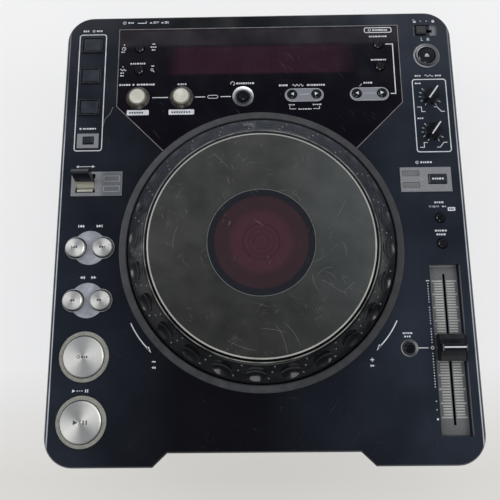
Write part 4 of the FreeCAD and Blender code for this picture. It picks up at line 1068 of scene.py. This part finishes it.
def power_marks(y=169.0):
    marks = [stroke(arc(-112.5, y, 1.2, 120, 420, 14), 0.4),
             stroke([(-112.5, y), (-112.5, y + 1.6)], 0.4)]
    marks += dashes(-109.5, -103, y, 1.3)
    marks += [stroke([(-101.5, y - 0.5), (-94.3, y - 0.5), (-94.3, y + 1.4)], 0.6)]
    for x, word in ((-90.2, "OFF"), (-80.6, "ON")):
        marks += [[triangle(x, y - 0.1, 1.4, 1.3, 90)]] + write(word, x + 2.2, y - 0.1, 1.7)
    return marks


def right_marks():
    marks = padlock(131, 165.9, False) + padlock(146.5, 165.9, True)
    marks += [[disc(136, 166, 0.45, 12)], [disc(141, 166, 0.45, 12)]]
    marks += [stroke([(135.6, 151), (135.6, 148.2), (137, 148.2)], 0.4),
              [triangle(141.2, 150, 1.5, 1.3, 90)], [box(139.9, 142.5, 148.2, 148.8)]]
    marks += dashes(128, 134, 116.4, 1.3) + wave(139.5, 116.4, 7, 1.4, 2)
    marks += dashes(144.5, 150.5, 116.4, 1.3)
    marks += [ring(124.6, 42, 1.2, 0.75, 20)] + dashes(127.2, 136.5, 42, 1.5)
    marks += dashes(135.8, 143.6, 9.0, 1.4)
    marks += write("6/10/16", 131.6, 5.6, 1.1, 0.25) + dashes(141.5, 146, 5.6, 1.0)
    marks += dashes(134.5, 144.5, -13.6, 1.4) + dashes(135.5, 143.4, -16.6, 1.4)
    marks += dashes(104.6, 113.4, -91.4, 1.2) + dashes(105.6, 112.4, -93.9, 1.2)
    marks += [[box(145.8, 151.6, 2.0, 5.0, 0.5), *holes(146.8, 151.0, 3.5, 0.9, 0.45)]]
    return marks


print_marks("panel_symbols", label_marks() + power_marks() + right_marks(), DECK, white_ink,
            "case")

# %% [markdown]
# ## Symbols on the display window
#
# The window carries the symbols of its own small buttons: a clock, a wave, a lens, arrows beside
# the loop buttons.

# %% Symbols on the display window
def window_marks():
    marks = []
    marks += [[disc(-112, 148.6, 0.5, 12)]] + clock(-112.2, 145.0)
    marks += dashes(-114.4, -110, 142, 0.9)
    marks += [[box(-88.6, -86.2, 148.6, 149.4)]] + dashes(-90, -84.8, 146.2, 1.2)
    marks += dashes(-89, -85.6, 143.6, 1.2)
    marks += dashes(-106.4, -92, 131.3, 1.4)
    marks += [[disc(-112.6, 128.6, 0.5, 12)]] + wave(-112.3, 125.8, 5, 1.6, 2)
    marks += dashes(-114.6, -110, 123, 1.0) + dashes(-114.6, -110.4, 120.6, 1.0)
    marks += [[box(-89, -86.6, 128.6, 129.4)], ring(-88.4, 125.6, 1.2, 0.8, 16),
              stroke([(-87.6, 124.8), (-86.4, 123.6)], 0.5)]
    marks += dashes(-115, -105.5, 112.4, 1.5) + [[triangle(-103, 112.4, 2, 1, 0)]]
    marks += dashes(-100.5, -84, 112.4, 1.5)
    marks += [[triangle(-66.4, 112.2, 2, 1, 180)]] + dashes(-64.4, -59.5, 112.2, 1.5)
    marks += loop_arrow(-21.5, 112.2) + dashes(-18.6, -3.5, 112.2, 1.5)
    marks += [stroke(stadium(-40.6, -35, 100.7, 1.3), 0.5, True)]
    marks += dashes(16.5, 25, 109.8, 1.5) + wave(32, 109.8, 9, 1.8, 3)
    marks += dashes(39.5, 56, 109.8, 1.5)
    marks += dashes(85.8, 94.2, 111, 1.5) + [stroke([(82.5, 108), (84.3, 110.2)], 0.4)]
    marks += dashes(92.4, 107.6, 152.6, 1.3) + dashes(93, 107.2, 131.4, 1.3)
    marks += [ring(93, 158.5, 1.2, 0.75, 16)] + dashes(95.4, 109, 158.5, 1.4)
    marks += dashes(24.2, 31, 92.6, 1.0) + dashes(43.6, 51, 92.6, 1.0)
    marks += dashes(32, 42.6, 88.8, 1.0)
    return marks


print_marks("window_symbols", window_marks(), DECK, white_ink, "case")

# %% [markdown]
# ## The speed knobs' scale
#
# Ticks stand round each knob, from seven o'clock to half past ten and again at four and five.
# Below each knob two small step lines show what it changes. A white pointer lies on each knob
# and rides on it.

# %% Knob ticks and step symbols
KNOBS = ("touch_speed_knob", "release_speed_knob")
TICK_ANGLES = (135, 160, 184, 209, 239, 297, 325)
TICK_REACH, TICK_WIDTH = (7.5, 9.4), 0.5
POINTER_ANGLE, POINTER_REACH, POINTER_WIDTH = 54, (-6.25, 6.2), 1.1
SUNK = 0.02


def knob_marks(knob, side):
    x, y = middle_of(knob)
    marks = [stroke([turned(x, y, reach, angle) for reach in TICK_REACH], TICK_WIDTH)
             for angle in TICK_ANGLES]
    low, high = (y - 13.5, y - 9.5)
    first, second = (high, low) if side > 0 else (low, high)
    marks.append(stroke([(128, first), (131.5, first), (131.5, second), (134.5, second)], 0.55))
    marks.append(stroke([(141.5, first), (144, first), (147.3, second), (150, second)], 0.55))
    marks += dashes(127.6, 134.6, y + 11.2, 1.2)
    return marks


print_marks("knob_scales", knob_marks(KNOBS[0], 1) + knob_marks(KNOBS[1], -1), DECK,
            white_ink, "case")

for knob in KNOBS:
    ends = [turned(*middle_of(knob), reach, POINTER_ANGLE) for reach in POINTER_REACH]
    print_marks(knob + "_pointer", [stroke(ends, POINTER_WIDTH)], top_of(knob) - SUNK, white_ink,
                knob, 0.12)

# %% [markdown]
# ## The pitch slider's scale
#
# A grey plate lies at the bottom of the slider's recess, ruled with light lines on both sides of
# the slot, every fifth one longer. Dots beside the recess count the same steps. A border of the
# same grey fills the recess round the plate, and the slider's cap has one white line across it.

# %% Ruled lines and dots of the pitch scale
FADER_X, FADER_Y = 139.75, -102.4
RULE_PITCH, RULE_HALF_COUNT = 2.0, 25
RULE_HALF_WIDTH = 0.52
RECESS_DEEP, RULED_PLATE_THICK = 4.3, 0.5
FADER_PLATE = DECK - RECESS_DEEP + RULED_PLATE_THICK

rules, dots = [], []
for i in range(-RULE_HALF_COUNT, RULE_HALF_COUNT + 1):
    y = FADER_Y + i * RULE_PITCH
    longer = 1.5 if i % 5 == 0 else 0.0
    for side in (-1, 1):
        near, far = FADER_X + side * 1.5, FADER_X + side * (7.9 + longer)
        rules.append([box(min(near, far), max(near, far), y - RULE_HALF_WIDTH,
                          y + RULE_HALF_WIDTH)])
    if -15 < i < -1 or 1 < i < 25 and i not in (8, 16) or i in (-19, -22):
        dots.append([disc(125.9, y, 0.42, 10)])
dots.append([box(124.6, 127.2, FADER_Y + 49.7, FADER_Y + 50.4)])
dots.append([disc(126, FADER_Y - 50.6, 0.75, 12)])
rule_ink = moulded("rule_ink", (138, 140, 138), (160, 161, 157), (0.45, 0.6), 0.3, 0.003)
print_marks("pitch_rules", rules, FADER_PLATE, rule_ink, "case")
print_marks("pitch_dots", dots, DECK, white_ink, "case")

# %% The plate's border and the slider's line
PLATE_HALF_X, PLATE_HALF_Y = 9.38, 59.48
RECESS = (128.2, 149.9, FADER_Y - 62.4, FADER_Y + 62.4)
plate_outline = box(FADER_X - PLATE_HALF_X, FADER_X + PLATE_HALF_X,
                    FADER_Y - PLATE_HALF_Y, FADER_Y + PLATE_HALF_Y)
print_marks("pitch_plate_border", [[box(*RECESS), plate_outline]],
            FADER_PLATE - RULED_PLATE_THICK, plate_grey, "case", RULED_PLATE_THICK)
border_points = [(RECESS[0] + 0.8, RECESS[2] + 1.0), (RECESS[0] + 0.8, RECESS[3] - 0.8),
                 (RECESS[1] - 0.4, RECESS[3] - 0.8)]
print_marks("pitch_plate_edge", [stroke(border_points, 0.6)], FADER_PLATE, border_ink, "case")

slider_low, slider_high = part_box("tempo_slider")
slider_line = [box(slider_low.x / MM + 1.0, slider_high.x / MM - 1.0,
                   FADER_Y + 0.2, FADER_Y + 1.3)]
print_marks("slider_line", [slider_line], top_of("tempo_slider") - SUNK, white_ink,
            "tempo_slider", 0.1)

# %% [markdown]
# ## Symbols on the caps
#
# The small caps carry white arrows, and the aluminium ones dark arrows. They ride on their caps,
# so they go down with them.

# %% Symbols on the caps
def on_cap(cap, marks, finish):
    print_marks(cap + "_symbol", marks, top_of(cap), finish, cap)


for cap, angle in (("wave_back", 180), ("wave_forward", 0), ("call_back", 180),
                   ("call_forward", 0)):
    cap_x, cap_y = middle_of(cap)
    on_cap(cap, [[triangle(cap_x, cap_y, 2.6, 1.5, angle)]], white_ink)

for cap, way, bar in (("track_search_back", -1, True), ("track_search_forward", 1, True),
                      ("search_back", -1, False), ("search_forward", 1, False)):
    cap_x, cap_y = middle_of(cap)
    on_cap(cap, rewind(cap_x, cap_y, 1.9, way, bar), dark_ink)

play_x, play_y = middle_of("play_button")
play_marks = [[triangle(play_x - 3.4, play_y, 3.4, 1.7, 0)],
              stroke([(play_x - 0.9, play_y - 1.8), (play_x + 0.7, play_y + 1.8)], 0.4),
              [box(play_x + 2.0, play_x + 2.9, play_y - 1.6, play_y + 1.6)],
              [box(play_x + 4.2, play_x + 5.1, play_y - 1.6, play_y + 1.6)]]
on_cap("play_button", play_marks, dark_ink)

cue_x, cue_y = middle_of("cue_button")
cue_marks = [ring(cue_x - 3.4, cue_y, 1.3, 0.8, 20)] + dashes(cue_x - 1.4, cue_x + 5, cue_y, 1.6)
on_cap("cue_button", cue_marks, dark_ink)

eject_x, eject_y = middle_of("eject_button")
on_cap("eject_button", [[triangle(eject_x, eject_y + 0.6, 1.9, 1.8, 90)],
                        [box(eject_x - 1.8, eject_x + 1.8, eject_y - 1.3, eject_y - 0.75)]],
       white_ink)

mode_x, mode_y = middle_of("jog_mode_button")
on_cap("jog_mode_button", dashes(mode_x - 4.6, mode_x + 4.6, mode_y, 1.5), white_ink)

# %% [markdown]
# ## Lines on the small pair plates, and indicator windows
#
# The two grey stadium plates have a light line between their buttons and a border of the same
# tone. The indicator windows are dark: beside the lever they show as thin light outlines, and
# beside the mode button as shallow grey boxes.

# %% Pair plates and indicator windows
PAIRS = (("wave_back", "wave_forward", 6.0), ("call_back", "call_forward", 5.7))
pair_marks = []
for back, forward, reach in PAIRS:
    (x0, y0), (x1, _) = middle_of(back), middle_of(forward)
    pair_marks.append(stroke(stadium(x0 - reach + 5.75, x1 + reach - 5.75, y0 - 0.65, 5.4),
                             0.45, True))
    pair_marks.append([box(x0 + 5.7, x1 - 5.7, y0 - 0.35, y0 + 0.35)])
print_marks("pair_lines", pair_marks, DECK + PLATE_RISE, border_ink, "case")

indicator_marks = [stroke(box(-124, -111.5, y, y + 4.4, 0.4), 0.35, True) for y in (21.2, 29.6)]
print_marks("indicator_outlines", indicator_marks, DECK + PLATE_RISE, border_ink, "case")
indicator_plastic = moulded("indicator_plastic", (92, 92, 94), (110, 110, 112), (0.25, 0.35))
print_marks("indicator_windows", [[box(112.3, 125.2, y - 2, y + 2, 0.3)] for y in (23.25, 32.75)],
            DECK, indicator_plastic, "case", 0.35)

# %% [markdown]
# ## Speckled discs behind the search caps
#
# Each pair of silver caps sits on a printed grey disc with a fine sparkle. The disc stops a
# little short of each cap's hole, and a thin light line circles the hole.

# %% Speckled discs
DISC_RADIUS, HOLE_RADIUS = 13.35, 8.75
speckle_ink = moulded("speckle_ink", (102, 105, 113), (154, 157, 166), (0.35, 0.5), 0.35, 0.004,
                      0.8)


def disc_between(back, forward):
    """Outline of a disc with a bite taken out at each side for a cap's hole."""
    (x0, y0), (x1, _) = middle_of(back), middle_of(forward)
    x, half = (x0 + x1) / 2, (x1 - x0) / 2
    cut_x = (DISC_RADIUS ** 2 - HOLE_RADIUS ** 2 + half ** 2) / (2 * half)
    bite = math.degrees(math.acos(cut_x / DISC_RADIUS))
    mouth = math.degrees(math.acos((half - cut_x) / HOLE_RADIUS))
    return (arc(x, y0, DISC_RADIUS, bite, 180 - bite, 30)
            + arc(x - half, y0, HOLE_RADIUS, mouth, -mouth, 24)[1:-1]
            + arc(x, y0, DISC_RADIUS, 180 + bite, 360 - bite, 30)
            + arc(x + half, y0, HOLE_RADIUS, 180 + mouth, 180 - mouth, 24)[1:-1])


SEARCH_PAIRS = (("track_search_back", "track_search_forward"), ("search_back", "search_forward"))
print_marks("search_discs", [[disc_between(*pair)] for pair in SEARCH_PAIRS], DECK,
            speckle_ink, "case")
hole_lines = [ring(*middle_of(cap), HOLE_RADIUS, HOLE_RADIUS - 0.4, 48)
              for pair in SEARCH_PAIRS for cap in pair]
print_marks("search_hole_lines", hole_lines, DECK + 0.01, border_ink, "case")

# %% [markdown]
# ## Pips on the wheel
#
# Between two finger hollows three small raised pips stand in a slanting row, so the fingers
# find grip. They are low domes that sit square on the wheel's slope, made from rings of points.
# Each pip of a row is given by its angle past the hollow and its distance from the axis, and the
# slope by the distance and height of its two ends.

# %% Pips between the finger hollows
HOLLOW_COUNT, FIRST_HOLLOW = 24, 12.0
PIPS = ((5.3, 99.0), (7.0, 94.5), (8.3, 90.4))
SLOPE_OUT, SLOPE_IN = Vector((101.8, 91.6)), Vector((89.2, 103.2))
PIP_RADIUS, PIP_HEIGHT, PIP_SIDES = 0.75, 0.55, 10
PIP_ROWS = ((1.0, -0.6), (1.0, 0.0), (0.8, 0.6), (0.4, 0.92))


def pip_dome(shape, base, out, up, lean):
    """A closed low dome on a base point; out, up and lean are its three directions."""
    rows = []
    for radius, height in PIP_ROWS:
        row = []
        for i in range(PIP_SIDES):
            angle = 2 * math.pi * i / PIP_SIDES
            aside = out * math.cos(angle) + lean * math.sin(angle)
            row.append(shape.verts.new((base + aside * radius * PIP_RADIUS
                                        + up * height * PIP_HEIGHT) * MM))
        rows.append(row)
    for lower, upper in zip(rows, rows[1:]):
        for i in range(PIP_SIDES):
            j = (i + 1) % PIP_SIDES
            shape.faces.new((lower[i], lower[j], upper[j], upper[i]))
    shape.faces.new(rows[-1])
    shape.faces.new(rows[0][::-1])


def make_pips():
    shape = bmesh.new()
    slope = (SLOPE_IN - SLOPE_OUT).normalized()
    for hollow in range(HOLLOW_COUNT):
        for offset, reach in PIPS:
            bearing = math.radians(FIRST_HOLLOW + hollow * 360 / HOLLOW_COUNT + offset)
            outward = Vector((math.cos(bearing), math.sin(bearing), 0))
            height = SLOPE_OUT.y + (SLOPE_OUT.x - reach) * slope.y / -slope.x
            base = Vector((JOG_X, JOG_Y, height)) + outward * reach
            downhill = -(outward * slope.x + Vector((0, 0, slope.y)))
            up = outward * slope.y + Vector((0, 0, -slope.x))
            pip_dome(shape, base, downhill, up, up.cross(downhill))
    bmesh.ops.recalc_face_normals(shape, faces=shape.faces)
    mesh = bpy.data.meshes.new("wheel_pips")
    shape.to_mesh(mesh)
    shape.free()
    mesh.polygons.foreach_set("use_smooth", [True] * len(mesh.polygons))
    mesh.materials.append(pip_gloss.material)
    piece = new_object("wheel_pips", mesh)
    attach(piece, "jog_wheel")
    print("pips", HOLLOW_COUNT * len(PIPS))


# The pips' light grey is a painted highlight that makes them read as bright dots on the black
# wheel.
pip_gloss = moulded("pip_gloss", (70, 74, 78), (104, 108, 112), (0.08, 0.14), 0.5, 0.002)
make_pips()

# %% [markdown]
# ## The lever's foot
#
# The direction lever is a black paddle that leans over its plate. A fixed cream strip lies on the
# plate in front of its foot.

# %% The lever's cream strip
print_marks("lever_strip", [[box(-145, -132.6, 21.2, 22.9, 0.3)]], DECK + PLATE_RISE - SUNK,
            cream_plastic, "case", 0.4)

# %% [markdown]
# ## A scuff on the panel
#
# One long scuff crosses the panel beside the pads. It is drawn as a thin pale line with a few
# bends.

# %% Scuff
scuff_pale = moulded("scuff_pale", (70, 74, 80), (104, 108, 114), (0.5, 0.65), 0.3, 0.003)
print_marks("panel_scuff", [stroke([(-127, 76), (-126, 82), (-123.6, 85), (-121.4, 87.6),
                                    (-119.4, 93)], 0.4)], DECK, scuff_pale, "case", 0.02)

# %% [markdown]
# ## Floor and light
#
# The player lies on a pale sheet. The camera sees the sheet partly by its own even tone, which
# carries a painted shadow in front of the player. That keeps the background pale without more
# light.

# %% Floor, whose tone the camera sees partly evened out
FLOOR_REACH = 3.0
FLAT_SHARE = 0.65
FRONT_SHADOW_FROM, FRONT_SHADOW_TO = -120, -215
floor_finish = Finish("pale_floor", specular_ior_level=0.1)
floor_tone = floor_finish.noise(160.0, 2.0)
floor_finish.shade(base_color=floor_finish.mix(floor_tone, colour(215, 216, 215),
                                               colour(221, 220, 217)), roughness=0.9)
rays = floor_finish.tree.nodes.new("ShaderNodeLightPath")
_, floor_y = floor_finish.across()
# Painted shadow: the even tone turns darker and warmer in front of the player.
glow_tone = floor_finish.mix(floor_finish.step(floor_y, FRONT_SHADOW_TO, FRONT_SHADOW_FROM),
                             colour(217, 214, 208), colour(248, 248, 250))
glow = floor_finish.node("Emission", {"Color": glow_tone, "Strength": 1.0})
share = floor_finish.both(rays.outputs["Is Camera Ray"], FLAT_SHARE)
evened = floor_finish.node("MixShader", {0: share, 1: floor_finish.shader.outputs[0], 2: glow})
floor_finish.feed(floor_finish.tree.nodes["Material Output"].inputs["Surface"], evened)
floor_mesh = bpy.data.meshes.new("floor")
floor_mesh.from_pydata([(x * FLOOR_REACH, y * FLOOR_REACH, 0.0)
                        for x, y in ((-1, -1), (1, -1), (1, 1), (-1, 1))], [], [(0, 1, 2, 3)])
floor_mesh.materials.append(floor_finish.material)
floor = new_object("floor", floor_mesh)
print("floor", 2 * FLOOR_REACH, "m wide")

# %% [markdown]
# ## Light from all round
#
# The light comes from a wide band at mid height, all round. Gloss is dark where it mirrors the
# ceiling or the low walls, and each hollow and edge that faces the band shines, so the tent is
# dark overhead and dim near the horizon. Its dark cap leans to the rear, where the display window
# mirrors it, and the front of the band is dimmer, so the wheel's front slope stays dark.

# %% The tent of light
TENT_LEAN = 0.1
world = bpy.data.worlds.new("studio")
bpy.context.scene.world = world
world.use_nodes = True
sky = world.node_tree
background = sky.nodes["Background"]
direction = sky.nodes.new("ShaderNodeTexCoord")
split = sky.nodes.new("ShaderNodeSeparateXYZ")
tent = sky.nodes.new("ShaderNodeValToRGB")
sky.links.new(direction.outputs["Generated"], split.inputs[0])
lean = sky.nodes.new("ShaderNodeMath")
lean.operation = "MULTIPLY_ADD"
sky.links.new(split.outputs["Y"], lean.inputs[0])
sky.links.new(split.outputs["Z"], lean.inputs[2])
lean.inputs[1].default_value = TENT_LEAN
sky.links.new(lean.outputs[0], tent.inputs["Fac"])
TENT_STEPS = ((0.0, (0.27, 0.28, 0.3)), (0.3, (0.36, 0.37, 0.39)), (0.47, (1.2, 1.21, 1.22)),
              (0.74, (1.15, 1.16, 1.18)), (0.86, (0.12, 0.13, 0.16)), (0.92, (0.06, 0.065, 0.08)),
              (1.0, (0.04, 0.045, 0.055)))
while len(tent.color_ramp.elements) < len(TENT_STEPS):
    tent.color_ramp.elements.new(0.5)
for stop, (height, tone) in zip(tent.color_ramp.elements, TENT_STEPS):
    stop.position, stop.color = height, (*tone, 1.0)
mix_sky = sky.nodes.new("ShaderNodeMix")
mix_sky.data_type = "RGBA"
rays = sky.nodes.new("ShaderNodeLightPath")
sky.links.new(rays.outputs["Is Camera Ray"], mix_sky.inputs[0])
front_dim = sky.nodes.new("ShaderNodeMapRange")
for key, value in (("From Min", -0.75), ("From Max", 0.55), ("To Min", 0.4), ("To Max", 1.3)):
    front_dim.inputs[key].default_value = value
sky.links.new(split.outputs["Y"], front_dim.inputs["Value"])
dimmed = sky.nodes.new("ShaderNodeVectorMath")
dimmed.operation = "SCALE"
sky.links.new(tent.outputs["Color"], dimmed.inputs[0])
sky.links.new(front_dim.outputs[0], dimmed.inputs["Scale"])
sky.links.new(dimmed.outputs[0], mix_sky.inputs[6])
mix_sky.inputs[7].default_value = colour(225, 228, 228)
sky.links.new(mix_sky.outputs[2], background.inputs["Color"])
print("steps from horizon to zenith", len(TENT_STEPS))

# %% [markdown]
# ## Soft lamps
#
# Four large soft lamps, one on each side, model the edges. They stand low enough that no flat
# face mirrors them to the camera. Each is given by its name, its place in metres and its power.

# %% Soft lamps
LAMP_SIZE = (0.9, 0.6)
LAMPS = (("left_lamp", (-1.25, 0.15, 0.95), 7.5), ("right_lamp", (1.25, -0.05, 0.95), 8.5),
         ("front_lamp", (0.0, -1.5, 0.9), 5.0), ("rear_lamp", (0.1, 1.45, 1.15), 6.0))
for lamp_name, place, power in LAMPS:
    lamp = bpy.data.lights.new(lamp_name, "AREA")
    lamp.shape = "RECTANGLE"
    lamp.size, lamp.size_y = LAMP_SIZE
    lamp.energy = power
    holder = new_object(lamp_name, lamp)
    holder.location = place
    holder.rotation_euler = (-Vector(place)).to_track_quat("-Z", "Y").to_euler()

bpy.context.scene.view_settings.view_transform = "Standard"
print("lamps", len(LAMPS))
